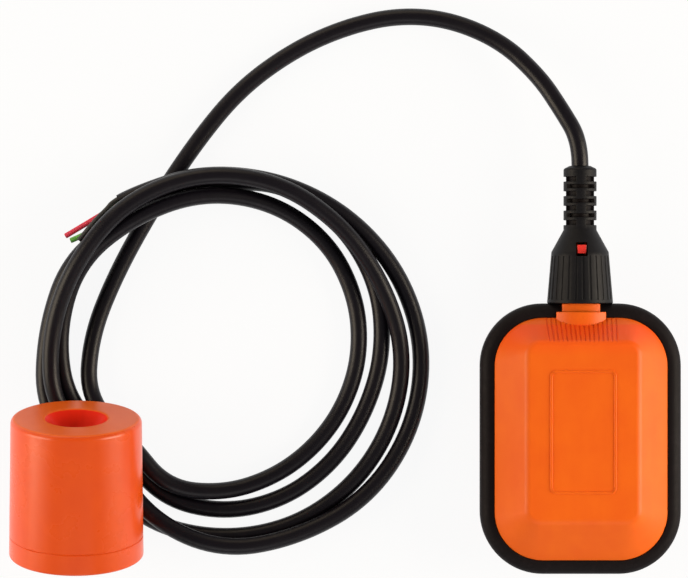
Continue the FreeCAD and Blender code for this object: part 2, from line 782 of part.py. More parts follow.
def cut_slots(body, sketch, width, count, pitch):
    slot = pocket(body, sketch, width, both_ways=True)
    repeated(body, "LinearPattern", slot, origin_axis(body, "Y_Axis"), count,
             Length=f"({count} - 1) * {pitch}")


def side_slots(body):
    """Slots from the front and the back that meet only in a notch beside the skin between them."""
    first = "-(boot_start + bell_length + shoulder_length + side_slot_first)"
    sketch = new_sketch(body, "XZ_Plane", first)
    core, near, skin = value("relief_core"), value("side_slot_web / 2"), value("side_slot_skin / 2")
    far, edge = value("relief_radius + 2"), value("relief_radius - side_slot_notch")
    deep, foot = math.sqrt(core ** 2 - near ** 2), math.sqrt(core ** 2 - skin ** 2)
    middle = (math.atan2(deep, near) + math.atan2(skin, foot)) / 2
    bend = (core * math.cos(middle), core * math.sin(middle))
    path = [
        (near, -far), (far, -far), (far, far), (near, far), (near, deep), (foot, skin), (edge, skin),
        (edge, -skin), (foot, -skin), (near, -deep),
    ]
    slot_openings(sketch, path, {4: bend, 8: (bend[0], -bend[1])}, False)
    cut_slots(body, sketch, "side_slot_width", "side_slot_count", "slot_pitch")


def face_slots(body):
    first = "-(boot_start + bell_length + shoulder_length + side_slot_first + slot_pitch / 2)"
    sketch = new_sketch(body, "XZ_Plane", first)
    core, near = value("relief_core"), value("face_slot_web / 2")
    far, reach = value("relief_radius + 2"), value("face_slot_reach")
    deep = math.sqrt(core ** 2 - near ** 2)
    path = [(near, -reach), (far, -reach), (far, reach), (near, reach), (near, deep), (near, -deep)]
    slot_openings(sketch, path, {4: (core, 0)}, True)
    cut_slots(body, sketch, "face_slot_width", "face_slot_count", "slot_pitch")


def latch_window(body):
    sketch = new_sketch(body, "XY_Plane", "snout_radius - 0.5")
    box_outline(sketch, "-window_width / 2", "window_width / 2",
                "tab_place - window_length / 2", "tab_place + window_length / 2")
    pocket(body, sketch, "bell_radius")


def lock_tab():
    body = new_body("lock_tab")
    sketch = new_sketch(body, "XY_Plane", "tab_top - tab_height")
    rounded_box(sketch, "-tab_width / 2", "tab_width / 2", "tab_place - tab_length / 2",
                "tab_place + tab_length / 2", "0.4")
    pad(body, sketch, "tab_height")
    return at_seam(body)


def tab_spring():
    """A bowed leaf between the neck's snout and the latch tab."""
    foot = value("snout_radius")
    crown = value("tab_top - tab_height") - 0.05
    gauge = value("spring_gauge")
    half = value("window_length / 2") - 0.2
    seam = value("float_thickness / 2")
    middle = value("tab_place")
    def bow(low, high):
        return Part.Arc(Vector(0, middle - half, seam + low), Vector(0, middle, seam + high),
                        Vector(0, middle + half, seam + low))
    lower = bow(foot + 0.02, crown - gauge)
    upper = bow(foot + 0.02 + gauge, crown)
    far_end = Part.LineSegment(lower.EndPoint, upper.EndPoint)
    near_end = Part.LineSegment(upper.StartPoint, lower.StartPoint)
    wire = Part.Wire([edge.toShape() for edge in (lower, far_end, upper, near_end)])
    width = value("tab_width") - 1
    leaf = Part.Face(wire).extrude(Vector(width, 0, 0))
    leaf.translate(Vector(-width / 2, 0, 0))
    return solid_feature("tab_spring", leaf)


# The switch module

def switch_frame():
    """Carrier with the ball's track at the low end and the microswitch's bay at the other."""
    body = new_body("switch_frame")
    track_end = "(ball_start - ball_radius - 0.5)"
    bay_floor = "(switch_top - switch_height)"
    bay_start = "(switch_start - 0.3)"
    bay_end = "(switch_start + switch_length + 1.5)"
    step = "(0 - track_floor - 2.8)"
    profile = new_sketch(body, "YZ_Plane")
    polygon(profile, [
        (f"{track_end} - frame_wall", "-track_floor - frame_floor"),
        (f"{bay_start} - frame_floor", "-track_floor - frame_floor"),
        (f"{bay_start} - frame_floor", f"{bay_floor} - frame_floor"),
        (bay_end, f"{bay_floor} - frame_floor"),
        (bay_end, "-2"),
        ("pivot_place + 2 * lever_hub", "frame_rise"),
        (f"{track_end} - frame_wall", "frame_rise"),
    ])
    outer = "2 * (ball_radius + ball_gap + frame_wall)"
    pad(body, profile, outer, both_ways=True)
    track = new_sketch(body, "YZ_Plane")
    polygon(track, [
        (track_end, "-track_floor"),
        (bay_start, "-track_floor"),
        (bay_start, step),
        (f"{bay_end} + 1", step),
        (f"{bay_end} + 1", "frame_rise + 1"),
        (track_end, "frame_rise + 1"),
    ])
    pocket(body, track, "2 * (ball_radius + ball_gap)", both_ways=True)
    bay = new_sketch(body, "YZ_Plane")
    box_outline(bay, bay_start, f"{bay_end} + 1", bay_floor, f"{step} + 0.5")
    pocket(body, bay, "switch_width + 2 * switch_fit", both_ways=True)
    frame_rails(body, track_end, bay_start)
    frame_ears(body)
    holes = new_sketch(body, "YZ_Plane")
    disc(holes, "pivot_place", "pivot_height", "pivot_radius")
    for along in MOUNT_HOLES:
        disc(holes, along, MOUNT_HEIGHT, "mount_radius")
    pocket(body, holes, f"{outer} + 10", both_ways=True)
    return at_seam(body)


MOUNT_HOLES = ("switch_start + mount_inset", "switch_start + switch_length - mount_inset")
MOUNT_HEIGHT = "switch_top - switch_height + mount_rise"


def frame_rails(body, start, end):
    """Two rails that the ball rolls on, their tops just below its surface."""
    contact = "sqrt(ball_radius * ball_radius - track_rail * track_rail)"
    sketch = new_sketch(body, "XY_Plane", "-track_floor")
    box_outline(sketch, "track_rail", "track_rail + rail_width", start, f"{end} - 4")
    box_outline(sketch, "-track_rail - rail_width", "-track_rail", start, f"{end} - 4")
    pad(body, sketch, f"track_floor + ball_height - {contact} - rail_gap")


def frame_ears(body):
    """Four ears on the shell's bosses, each with a screw hole."""
    inner = "(ball_radius + ball_gap + frame_wall / 2)"
    outer = "(boss_side + boss_radius)"
    ears = new_sketch(body, "XY_Plane", "-track_floor - frame_floor")
    holes = new_sketch(body, "XY_Plane", "-track_floor - frame_floor")
    for place in ("boss_low", "boss_high"):
        box_outline(ears, inner, outer, f"{place} - boss_radius", f"{place} + boss_radius")
        box_outline(ears, f"-{outer}", f"-{inner}", f"{place} - boss_radius", f"{place} + boss_radius")
        disc(holes, "boss_side", place, "screw_radius + screw_slip")
        disc(holes, "-boss_side", place, "screw_radius + screw_slip")
    pad(body, ears, "frame_floor")
    pocket(body, holes, "frame_floor")


def frame_screws():
    """Four pan head screws through the ears into the bosses."""
    seam = value("float_thickness / 2")
    top = seam - value("track_floor")
    screws = []
    for side in (-value("boss_side"), value("boss_side")):
        for along in (value("boss_low"), value("boss_high")):
            head = Part.makeCylinder(value("screw_head"), value("screw_cap"), Vector(side, along, top))
            head = head.makeFillet(0.5, [edge for edge in head.Edges if edge.BoundBox.ZMin > top + 0.1])
            depth = value("screw_length")
            shank = Part.makeCylinder(value("screw_radius"), depth, Vector(side, along, top - depth))
            screws.append(head.fuse(shank).removeSplitter())
    return solid_feature("frame_screws", Part.makeCompound(screws))


def steel_ball():
    ball = doc.addObject("Part::Sphere", "steel_ball")
    ball.Label = "steel_ball"
    bind(ball, Radius="ball_radius", Placement__Base__y="ball_start",
         Placement__Base__z="float_thickness / 2 + ball_height")
    return ball


def cross_pin(label, radius, along, height):
    """A pin across the frame, flush with its outer walls."""
    half = "(ball_radius + ball_gap + frame_wall)"
    pin = doc.addObject("Part::Cylinder", label)
    pin.Label = label
    pin.Placement = FreeCAD.Placement(Vector(0, 0, 0), FreeCAD.Rotation(Vector(0, 1, 0), 90))
    bind(pin, Radius=radius, Height=f"2 * {half}", Placement__Base__x=f"-{half}",
         Placement__Base__y=along, Placement__Base__z=f"float_thickness / 2 + {height}")
    return pin


def cam_points():
    """Three points of the cam: where the ball's centre passes the lever as it rolls, set out by its radius.

    The lever tilts evenly with the ball's way, so the ball's path in the lever's own frame is
    worked out at the start, middle and end of the way.
    """
    away = value("ball_start - pivot_place")
    rise = value("ball_height - pivot_height")
    path = []
    for share in (0.0, 0.5, 1.0):
        along = away + share * value("ball_travel")
        turn = math.radians(value("lever_swing")) * share
        level = along * math.cos(turn) - rise * math.sin(turn)
        path.append(Vector(0, level, along * math.sin(turn) + rise * math.cos(turn)))
    centre = Part.Circle(*path).Center
    reach = value("ball_radius + cam_gap")
    cam = [spot + (centre - spot).normalize() * reach for spot in path]
    bend = (cam[1] - centre).Length
    sense = 1 if (path[0] - centre).cross(path[2] - centre).x > 0 else -1
    for number, overrun in ((0, -value("cam_tip")), (2, value("cam_root"))):
        turn = FreeCAD.Rotation(Vector(1, 0, 0), sense * math.degrees(overrun / bend))
        cam[number] = centre + turn.multVec(cam[number] - centre)
    return cam, centre


def actuator_lever():
    """Cam lever: the ball lifts its arm and its nose presses the plunger."""
    cam, centre = cam_points()
    gauge = value("lever_gauge")
    hub = value("lever_hub")
    upper = [spot + (centre - spot).normalize() * gauge for spot in cam]
    root_low = Vector(0, -hub * 0.6, -hub * 0.8)
    root_high = Vector(0, 0, hub)
    edges = [
        Part.LineSegment(upper[0], cam[0]),
        Part.Arc(*cam),
        Part.LineSegment(cam[2], root_low),
        Part.LineSegment(root_low, root_high),
        Part.LineSegment(root_high, upper[2]),
        Part.Arc(upper[2], upper[1], upper[0]),
    ]
    arm = Part.Face(Part.Wire([edge.toShape() for edge in edges]))
    width = value("lever_width")
    across = Vector(width, 0, 0)
    nose_centre = Vector(0, value("nose_reach"), -value("nose_drop"))
    nose = value("nose_radius")
    thick = Vector(0, 0, nose)
    corners = [thick, nose_centre + thick, nose_centre - thick, -thick, thick]
    bar = Part.Face(Part.makePolygon(corners))
    shape = arm.extrude(across)
    shape = shape.fuse([bar.extrude(across), Part.makeCylinder(hub, width, Vector(0, 0, 0), Vector(1, 0, 0)),
                        Part.makeCylinder(nose, width, nose_centre, Vector(1, 0, 0))])
    hole = value("pivot_radius")
    shape = shape.cut(Part.makeCylinder(hole, width, Vector(0, 0, 0), Vector(1, 0, 0))).removeSplitter()
    seat = Vector(-width / 2, value("pivot_place"), value("float_thickness / 2 + pivot_height"))
    return solid_feature("actuator_lever", shape, FreeCAD.Placement(seat, FreeCAD.Rotation()))


# The microswitch

SWITCH_FLOOR = "(switch_top - switch_height)"
PLUNGER_PLACE = "(pivot_place + nose_reach)"
CASE_DEPTH = "(switch_width - switch_wall)"


def microswitch_case():
    """Tray of the microswitch, open towards its cover."""
    body = new_body("microswitch_case")
    outline = new_sketch(body, "YZ_Plane", "-switch_width / 2")
    box_outline(outline, "switch_start", "switch_start + switch_length", SWITCH_FLOOR, "switch_top")
    pad(body, outline, CASE_DEPTH)
    cavity = new_sketch(body, "YZ_Plane", "-switch_width / 2 + switch_wall")
    box_outline(cavity, "switch_start + switch_wall", "switch_start + switch_length - switch_wall",
                f"{SWITCH_FLOOR} + switch_sole", "switch_top - switch_wall")
    pocket(body, cavity, CASE_DEPTH)
    window = new_sketch(body, "XY_Plane", "switch_top - switch_wall - 0.5")
    box_outline(window, "-plunger_width / 2 - plunger_slip", "plunger_width / 2 + plunger_slip",
                f"{PLUNGER_PLACE} - plunger_length / 2 - plunger_slip",
                f"{PLUNGER_PLACE} + plunger_length / 2 + plunger_slip")
    pocket(body, window, "switch_wall + 1")
    slots = new_sketch(body, "XZ_Plane", "-(switch_start + switch_length + 1)")
    for level in ("low", "middle", "high"):
        low = strip_height(level)
        box_outline(slots, "-strip_width / 2", "strip_width / 2", low, f"{low} + strip_gauge")
    pocket(body, slots, "switch_wall + 2", along_normal=True)
    mount_holes(body, "switch_width")
    return at_seam(body)


def mount_holes(body, width):
    holes = new_sketch(body, "YZ_Plane")
    for along in MOUNT_HOLES:
        disc(holes, along, MOUNT_HEIGHT, "mount_radius")
    pocket(body, holes, f"2 * {width}", both_ways=True)


def microswitch_cover():
    body = new_body("microswitch_cover")
    outline = new_sketch(body, "YZ_Plane", "switch_width / 2 - switch_wall")
    box_outline(outline, "switch_start", "switch_start + switch_length", SWITCH_FLOOR, "switch_top")
    pad(body, outline, "switch_wall")
    mount_holes(body, "switch_width")
    return at_seam(body)


def switch_plunger():
    """Stem through the case's top with a foot that keeps it in."""
    body = new_body("switch_plunger")
    bottom = "switch_top - switch_wall - 1.2"
    stem = new_sketch(body, "XY_Plane", bottom)
    box_outline(stem, "-plunger_width / 2", "plunger_width / 2",
                f"{PLUNGER_PLACE} - plunger_length / 2", f"{PLUNGER_PLACE} + plunger_length / 2")
    pad(body, stem, "switch_wall + 1.2 + plunger_out")
    foot = new_sketch(body, "XY_Plane", bottom)
    box_outline(foot, "-plunger_width / 2 - plunger_foot", "plunger_width / 2 + plunger_foot",
                f"{PLUNGER_PLACE} - plunger_length / 2 - plunger_foot",
                f"{PLUNGER_PLACE} + plunger_length / 2 + plunger_foot")
    pad(body, foot, "1.1")
    return at_seam(body)


BLADE_LEVEL = "(switch_top - switch_wall - blade_drop + 1.2)"
BLADE_ROOT = "(switch_start + switch_wall + 2)"
CONTACT_PLACE = "(switch_start + switch_length - switch_wall - 3.4)"


def terminal(label, level):
    """Strip through the end of the case, with a contact or the blade's post at its inner end."""
    body = new_body(label)
    low = strip_height(level)
    start = BLADE_ROOT + " - 1" if level == "low" else CONTACT_PLACE + " - 2"
    strip = new_sketch(body, "XY_Plane", low)
    end = "switch_start + switch_length + strip_out"
    box_outline(strip, "-strip_width / 2", "strip_width / 2", start, end)
    pad(body, strip, "strip_gauge")
    if level == "low":
        post = new_sketch(body, "XY_Plane", low)
        box_outline(post, "-blade_width / 2", "blade_width / 2", start, f"{start} + 1.2")
        pad(body, post, f"{BLADE_LEVEL} - blade_bead - blade_slip - ({low})")
    elif level == "middle":
        button = new_sketch(body, "XY_Plane", low)
        disc(button, "0", CONTACT_PLACE, "rivet_radius")
        pad(body, button, "strip_gauge + 0.5")
    else:
        button = new_sketch(body, "XY_Plane", f"{low} - 0.5")
        disc(button, "0", CONTACT_PLACE, "rivet_radius")
        pad(body, button, "0.5")
    return at_seam(body)


def contact_blade():
    """Moving blade: a bead across its root that it turns on, a silver contact on both faces of its end."""
    body = new_body("contact_blade")
    leaf = new_sketch(body, "XY_Plane", f"{BLADE_LEVEL} - blade_gauge / 2")
    box_outline(leaf, "-blade_width / 2", "blade_width / 2", f"{BLADE_ROOT} - 0.6", f"{CONTACT_PLACE} + 2")
    pad(body, leaf, "blade_gauge")
    bead = new_sketch(body, "YZ_Plane")
    disc(bead, BLADE_ROOT, BLADE_LEVEL, "blade_bead")
    pad(body, bead, "blade_width", both_ways=True)
    rivet = new_sketch(body, "XY_Plane", f"{BLADE_LEVEL} - 0.9")
    disc(rivet, "0", CONTACT_PLACE, "rivet_radius")
    pad(body, rivet, "1.6")
    return at_seam(body)


# The counterweight, drawn upright on its base and then laid against the coil

def weight_placement():
    lean = math.radians(value("weight_lean"))
    seat = Vector(value("weight_place_x"), value("weight_place_y"), value("weight_base") * math.cos(lean))
    turn = FreeCAD.Rotation(Vector(0, 0, 1), -value("weight_turn"))
    laid = FreeCAD.Rotation(Vector(1, 0, 0), value("weight_lean") - 90)
    return FreeCAD.Placement(seat, turn.multiply(laid))


TAPER = "((weight_base - weight_mouth) / weight_length)"


def side_radius(height):
    """Outer radius of the counterweight at a height above its base."""
    return f"(weight_base - ({height}) * {TAPER})"


def counterweight_shell():
    """Cup with a funnel and a tube for the cable, open at the base."""
    body = new_body("counterweight_shell")
    section = new_sketch(body, "XZ_Plane")
    throat = "(weight_length - funnel_depth)"
    polygon(section, [
        ("bore_radius", "cap_height"),
        ("bore_radius + bore_wall", "cap_height"),
        ("bore_radius + bore_wall", "weight_length - funnel_depth - weight_wall"),
        ("funnel_radius + weight_wall", "weight_length - weight_wall"),
        (f"{side_radius('weight_length - weight_wall')} - weight_wall", "weight_length - weight_wall"),
        (f"{side_radius('cap_height')} - weight_wall", "cap_height"),
        (f"{side_radius('cap_height')} - cap_groove", "cap_height"),
        (side_radius("cap_height + cap_groove"), "cap_height + cap_groove"),
        ("weight_mouth", "weight_length"),
        ("funnel_radius", "weight_length"),
        ("bore_radius", throat),
    ])
    turned(body, "Revolution", section)
    top = value("weight_length")
    rounding(body, "weight_round", lambda edge: edge.BoundBox.ZMin > top - 1e-3)
    weight_ribs(body)
    body.Placement = weight_placement()
    return body


def weight_ribs(body):
    """Ribs under the top that hold the iron ring against the cap."""
    low = "(cap_height + cap_spigot + ballast_length + 0.1)"
    rib = new_sketch(body, "XZ_Plane")
    polygon(rib, [
        ("bore_radius + bore_wall / 2", low),
        (f"{side_radius('weight_length')} - weight_wall / 2", low),
        (f"{side_radius('weight_length')} - weight_wall / 2", "weight_length - weight_wall / 2"),
        ("funnel_radius + weight_wall", "weight_length - weight_wall / 2"),
        ("bore_radius + bore_wall / 2", "weight_length - funnel_depth - weight_wall / 2"),
    ])
    made = pad(body, rib, "weight_rib", both_ways=True)
    repeated(body, "PolarPattern", made, origin_axis(body, "Z_Axis"), "weight_ribs")


def counterweight_base_cap():
    """Cap with a spigot inside the shell; its outer edge meets the shell at a fine groove."""
    body = new_body("counterweight_base_cap")
    section = new_sketch(body, "XZ_Plane")
    inner_wall = f"({side_radius('cap_height + cap_spigot')} - weight_wall - cap_slip)"
    polygon(section, [
        ("bore_radius", "0"),
        ("weight_base", "0"),
        (side_radius("cap_height - cap_groove"), "cap_height - cap_groove"),
        (f"{side_radius('cap_height')} - cap_groove", "cap_height"),
        (inner_wall, "cap_height"),
        (inner_wall, "cap_height + cap_spigot"),
        (f"{inner_wall} - weight_wall", "cap_height + cap_spigot"),
        (f"{inner_wall} - weight_wall", "weight_wall"),
        ("bore_radius + bore_wall + weight_wall", "weight_wall"),
        ("bore_radius + bore_wall + weight_wall", "cap_height + cap_spigot"),
        ("bore_radius + bore_wall + cap_slip", "cap_height + cap_spigot"),
        ("bore_radius + bore_wall + cap_slip", "cap_height"),
        ("bore_radius", "cap_height"),
    ])
    turned(body, "Revolution", section)
    body.Placement = weight_placement()
    return body


def iron_ballast():
    """Cast ring that seats on the cap's two rims."""
    body = new_body("iron_ballast")
    section = new_sketch(body, "XZ_Plane")
    low = "(cap_height + cap_spigot)"
    high = f"({low} + ballast_length)"
    outer = f"({side_radius(high)} - weight_wall - ballast_fit)"
    polygon(section, [
        ("bore_radius + bore_wall + ballast_fit", low),
        (outer, low),
        (outer, high),
        ("bore_radius + bore_wall + ballast_fit", high),
    ])
    turned(body, "Revolution", section)
    body.Placement = weight_placement()
    return body


def grip_ring():
    """Split ring in the throat that grips the cable and sets the weight's place on it."""
    body = new_body("cable_grip_ring")
    section = new_sketch(body, "XZ_Plane")
    top = "(weight_length - funnel_depth)"
    polygon(section, [
        ("grip_bore", f"{top} - grip_ring_length"),
        ("bore_radius", f"{top} - grip_ring_length"),
        ("bore_radius", top),
        ("grip_bore", top),
    ])
    turned(body, "Revolution", section)
    split = new_sketch(body, "XZ_Plane")
    box_outline(split, "grip_bore + 0.6", "bore_radius + 1", f"{top} - grip_ring_length + 2", f"{top} + 1")
    cut = pocket(body, split, "0.8", both_ways=True)
    repeated(body, "PolarPattern", cut, origin_axis(body, "Z_Axis"), "grip_teeth")
    body.Placement = weight_placement()
    return body


# The cable's free stretch: its bends, from the boot's mouth to the start of the coil

LEAD_ROUTE = [
    (0, 122, 20), (-5, 137, 18.5), (-15.5, 149, 14.5), (-31, 163, 10), (-52, 173.5, 6.5), (-74, 175.5, 4.5),
    (-96, 170.5, 3.5), (-117.5, 160, 3.5), (-139.5, 143.5, 3.5), (-157, 122.5, 3.5), (-176, 93, 3.5),
]
LEAD_LAST_RUN = 14


# The coil: its centre line passes nine directions in each turn, in degrees counted on from the first;
# for each, turn by turn, the reach from the coil's middle and the height above the floor

COIL_DIRECTIONS = [159, 204, 222, 249, 294, 339, 384, 429, 474]
COIL_REACH = [
    [57.5, 52.4, 52.5, 52.8, 52.2, 49.5, 55.5, 64.0, 68.5],
    [67.5, 60.5, 59.3, 61.0, 61.0, 58.5, 66.0, 67.5, 69.0],
    [81.3, 75.8, 73.2, 75.0, 72.0, 70.0, 71.0, 74.5, 77.0],
    [76.0, 68.2, 66.3, 69.5, 76.5, 78.5, 77.0, 75.5],
]
COIL_HEIGHT = [
    [3.5, 4.8, 6.6, 7.2, 3.5, 3.5, 3.5, 11.4, 18.9],
    [8.2, 3.5, 3.5, 3.5, 3.5, 3.5, 3.5, 3.5, 11.4],
    [3.8, 3.5, 3.5, 3.5, 3.5, 3.5, 9.8, 11.5, 19.7],
    [13.5, 5.1, 6.3, 10.3, 11.4, 4.0, 3.5, 3.6],
]
COIL_LAST = (1560, 79.0, 12.0)


def coil_stations():
    """Where the coil's centre line passes each direction, turn after turn."""
    centre = Vector(value("coil_centre_x"), value("coil_centre_y"), 0)
    places = []
    for turns, (reaches, heights) in enumerate(zip(COIL_REACH, COIL_HEIGHT)):
        for direction, reach, height in zip(COIL_DIRECTIONS, reaches, heights):
            places.append((direction + 360 * turns, reach, height))
    places.append(COIL_LAST)
    stations = []
    for angle, reach, height in places:
        turn = math.radians(angle)
        stations.append(centre + Vector(reach * math.cos(turn), reach * math.sin(turn), height))
    return stations


def heading(before, here, after):
    """Direction of travel between two neighbours, level where the cable stops climbing or sinking."""
    arriving = here - before
    leaving = after - here
    flat_in = math.hypot(arriving.x, arriving.y)
    flat_out = math.hypot(leaving.x, leaving.y)
    level = Vector(arriving.x, arriving.y, 0) / flat_in + Vector(leaving.x, leaving.y, 0) / flat_out
    level.normalize()
    climb_in = arriving.z / flat_in
    climb_out = leaving.z / flat_out
    climb = 2 * climb_in * climb_out / (climb_in + climb_out) if climb_in * climb_out > 0 else 0.0
    return Vector(level.x, level.y, climb).normalize()


def compass(angle):
    turn = math.radians(angle)
    return Vector(-math.sin(turn), math.cos(turn), 0)


def biarc(start, start_heading, end, end_heading):
    """Two tangent arcs from one station to the next."""
    chord = end - start
    both = start_heading + end_heading
    spread = 2 * (1 - start_heading.dot(end_heading))
    if spread < 1e-9:
        reach = chord.dot(chord) / (4 * chord.dot(end_heading))
    else:
        along = chord.dot(both)
        reach = (math.sqrt(along ** 2 + spread * chord.dot(chord)) - along) / spread
    joint = ((start + start_heading * reach) + (end - end_heading * reach)) * 0.5
    return [tangent_arc(start, start_heading, joint), reversed_arc(end, end_heading, joint)]


def tangent_arc(start, direction, end):
    """An arc that leaves its start along a direction, or a line where there is no turn."""
    chord = end - start
    across = chord - direction * chord.dot(direction)
    if across.Length < 1e-6:
        return Part.LineSegment(start, end)
    across.normalize()
    radius = chord.dot(chord) / (2 * chord.dot(across))
    centre = start + across * radius
    sweep = 2 * math.atan2(chord.dot(across), chord.dot(direction))
    middle = centre - across * (radius * math.cos(sweep / 2)) + direction * (radius * math.sin(sweep / 2))
    return Part.Arc(start, middle, end)


def reversed_arc(end, direction, joint):
    arc = tangent_arc(end, direction * -1, joint)
    if isinstance(arc, Part.LineSegment):
        return Part.LineSegment(joint, end)
    halfway = arc.value((arc.FirstParameter + arc.LastParameter) / 2)
    return Part.Arc(joint, halfway, end)


def coil_path():
    """The coil's centre line: a straight end, biarcs from station to station and a straight end."""
    stations = coil_stations()
    headings = [compass(COIL_DIRECTIONS[0])]
    for before, here, after in zip(stations, stations[1:], stations[2:]):
        headings.append(heading(before, here, after))
    headings.append(compass(COIL_LAST[0]))
    stub = value("cable_diameter")
    pieces = [Part.LineSegment(stations[0] - headings[0] * stub, stations[0])]
    for number in range(len(stations) - 1):
        pieces += biarc(stations[number], headings[number], stations[number + 1], headings[number + 1])
    pieces.append(Part.LineSegment(stations[-1], stations[-1] + headings[-1] * stub))
    return Part.Wire([piece.toShape() for piece in pieces])


def self_gap(wire, diameter, step=3.0, apart=60.0):
    """Least gap between turns, measured between points of the centre line."""
    spots = []
    travelled = 0.0
    for edge in wire.Edges:
        count = max(2, int(edge.Length / step) + 1)
        for spot in edge.discretize(Number=count)[:-1]:
            spots.append((travelled, spot))
            travelled += edge.Length / (count - 1)
    best = 1e9
    for number, (reach, spot) in enumerate(spots):
        for other_reach, other in spots[number + 1:]:
            if other_reach - reach > apart:
                best = min(best, spot.distanceToPoint(other))
    return best - diameter


def cable_coil():
    wire = coil_path()
    diameter = value("cable_diameter")
    print(f"coil: {wire.Length:.0f} mm of cable, least gap to itself {self_gap(wire, diameter):.2f} mm")
    radii = [edge.Curve.Radius for edge in wire.Edges if hasattr(edge.Curve, "Radius")]
    print(f"coil: least bend radius {min(radii):.0f} mm")
    return solid_feature("cable_coil", tube(wire, diameter))


def cable_lead():
    """Free cable from the boot's mouth to the coil, lying on the floor before it passes under the turns."""
    stations = coil_stations()
    start = compass(COIL_DIRECTIONS[0])
    meet = stations[0] - start * value("cable_diameter")
    seam = value("float_thickness / 2")
    route = [Vector(0, value(BOOT_MOUTH), seam)] + [Vector(*spot) for spot in LEAD_ROUTE]
    route += [meet - start * LEAD_LAST_RUN, meet]
    wire, radii = run_and_bend(route)
    bends = ", ".join(f"{radius:.0f}" for radius in radii)
    print(f"lead: bend radii {bends} mm, length {wire.Length:.0f} mm")
    return solid_feature("cable_lead", tube(wire, value("cable_diameter")))


# The cut end: three cores spread from the jacket; each starts at its place in the section, given as
# a direction, and then passes points set out from the end of the jacket

CUT_CORES = {
    "core_black": (30, [(-8.4, -4.0, 0.2), (-13.1, -8.2, -0.4), (-16.8, -12.2, -1.2)]),
    "core_red": (270, [(-9.5, -5.8, -3.0), (-23.4, -13.3, -6.4)]),
    "core_green": (150, [(-7.5, -7.0, 1.0), (-16.1, -14.9, -0.2), (-22.9, -17.0, -2.4)]),
}


def cut_core(label):
    last = coil_path().Edges[-1]
    end = last.valueAt(last.LastParameter)
    direction = last.tangentAt(last.LastParameter)
    angle, steps = CUT_CORES[label]
    turn = math.radians(angle)
    outward = direction.cross(Vector(0, 0, 1)).normalize()
    spot = end + (outward * math.cos(turn) + Vector(0, 0, math.sin(turn))) * value("core_circle")
    points = [spot, spot + direction * 3.0] + [end + Vector(*step) for step in steps]
    wire, radii = run_and_bend(points)
    return solid_feature(label, tube(wire, value("core_diameter")))


def build():
    """Makes every piece and gives the list of them, in the order of assembly."""
    pieces = [
        float_shell("front_shell", True),
        float_shell("rear_shell", False),
        seam_band(),
        ring_about_y("neck_seal", "cable_diameter / 2", "seal_radius", "plug_end + 0.5", "seal_end - 0.5"),
        resin_plug(),
        held_cable(),
        inner_core("black"),
        inner_core("red"),
        inner_core("green"),
        strain_relief_boot(),
        lock_tab(),
        tab_spring(),
        switch_frame(),
        frame_screws(),
        steel_ball(),
        cross_pin("lever_pin", "pivot_radius - pivot_slip", "pivot_place", "pivot_height"),
        cross_pin("switch_pin_low", "mount_radius - pin_slip", MOUNT_HOLES[0], f"({MOUNT_HEIGHT})"),
        cross_pin("switch_pin_high", "mount_radius - pin_slip", MOUNT_HOLES[1], f"({MOUNT_HEIGHT})"),
        actuator_lever(),
        microswitch_case(),
        microswitch_cover(),
        switch_plunger(),
        terminal("common_terminal", "low"),
        terminal("open_contact_terminal", "middle"),
        terminal("closed_contact_terminal", "high"),
        contact_blade(),
        counterweight_shell(),
        counterweight_base_cap(),
        iron_ballast(),
        grip_ring(),
        cable_lead(),
        cable_coil(),
    ]
    pieces += [cut_core(label) for label in CUT_CORES]
    doc.recompute()
    return pieces


def check(pieces):
    for item in doc.Objects:
        if "Invalid" in item.State or "Error" in item.State:
            raise RuntimeError(item.Label + " failed: " + " ".join(item.State))
    for piece in pieces:
        if piece.Shape.isNull() or not piece.Shape.isValid():
            raise RuntimeError(piece.Label + " has no valid shape")


def export(pieces):
    os.makedirs("parts", exist_ok=True)
    for piece in pieces:
        piece.Shape.exportStep(f"parts/{piece.Label}.step")


pieces = build()
check(pieces)
export(pieces)
print(f"{len(pieces)} pieces written")
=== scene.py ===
import math

import bmesh
import bpy
from mathutils import Matrix, Vector


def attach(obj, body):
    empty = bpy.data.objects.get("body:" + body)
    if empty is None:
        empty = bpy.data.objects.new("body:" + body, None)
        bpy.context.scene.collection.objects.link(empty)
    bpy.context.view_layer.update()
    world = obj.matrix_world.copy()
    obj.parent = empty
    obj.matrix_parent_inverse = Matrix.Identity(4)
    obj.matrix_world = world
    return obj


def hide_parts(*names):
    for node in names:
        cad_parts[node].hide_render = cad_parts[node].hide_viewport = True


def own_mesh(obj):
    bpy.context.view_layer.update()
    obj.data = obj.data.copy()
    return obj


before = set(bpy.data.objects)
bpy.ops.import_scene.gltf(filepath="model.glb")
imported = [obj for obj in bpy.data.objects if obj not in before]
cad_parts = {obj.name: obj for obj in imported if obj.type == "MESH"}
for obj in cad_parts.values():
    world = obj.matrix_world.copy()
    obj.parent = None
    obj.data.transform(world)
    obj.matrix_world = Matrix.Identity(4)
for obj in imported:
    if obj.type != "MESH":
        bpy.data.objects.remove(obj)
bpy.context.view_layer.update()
bpy.context.scene.view_settings.view_transform = "Standard"

# A float switch with its cable and counterweight, laid flat on white paper.
# Lengths are in millimetres and angles in degrees; the camera and the studio are set out in metres.

MM = 0.001


# The camera looks straight down.

CAMERA_PLACE = (-0.0965, 0.0611, 1.4)
CAMERA_LENS = 176.6
CAMERA_SENSOR = 36
CAMERA_REACH = 20


def overhead_camera():
    lens = bpy.data.cameras.new("overhead_lens")
    lens.sensor_width = CAMERA_SENSOR
    lens.lens = CAMERA_LENS
    lens.clip_end = CAMERA_REACH
    camera = bpy.data.objects.new("overhead_camera", lens)
    camera.location = CAMERA_PLACE
    bpy.context.scene.collection.objects.link(camera)
    bpy.context.scene.camera = camera


overhead_camera()


# The cable: one free cord from the mouth of the boot to the cut end

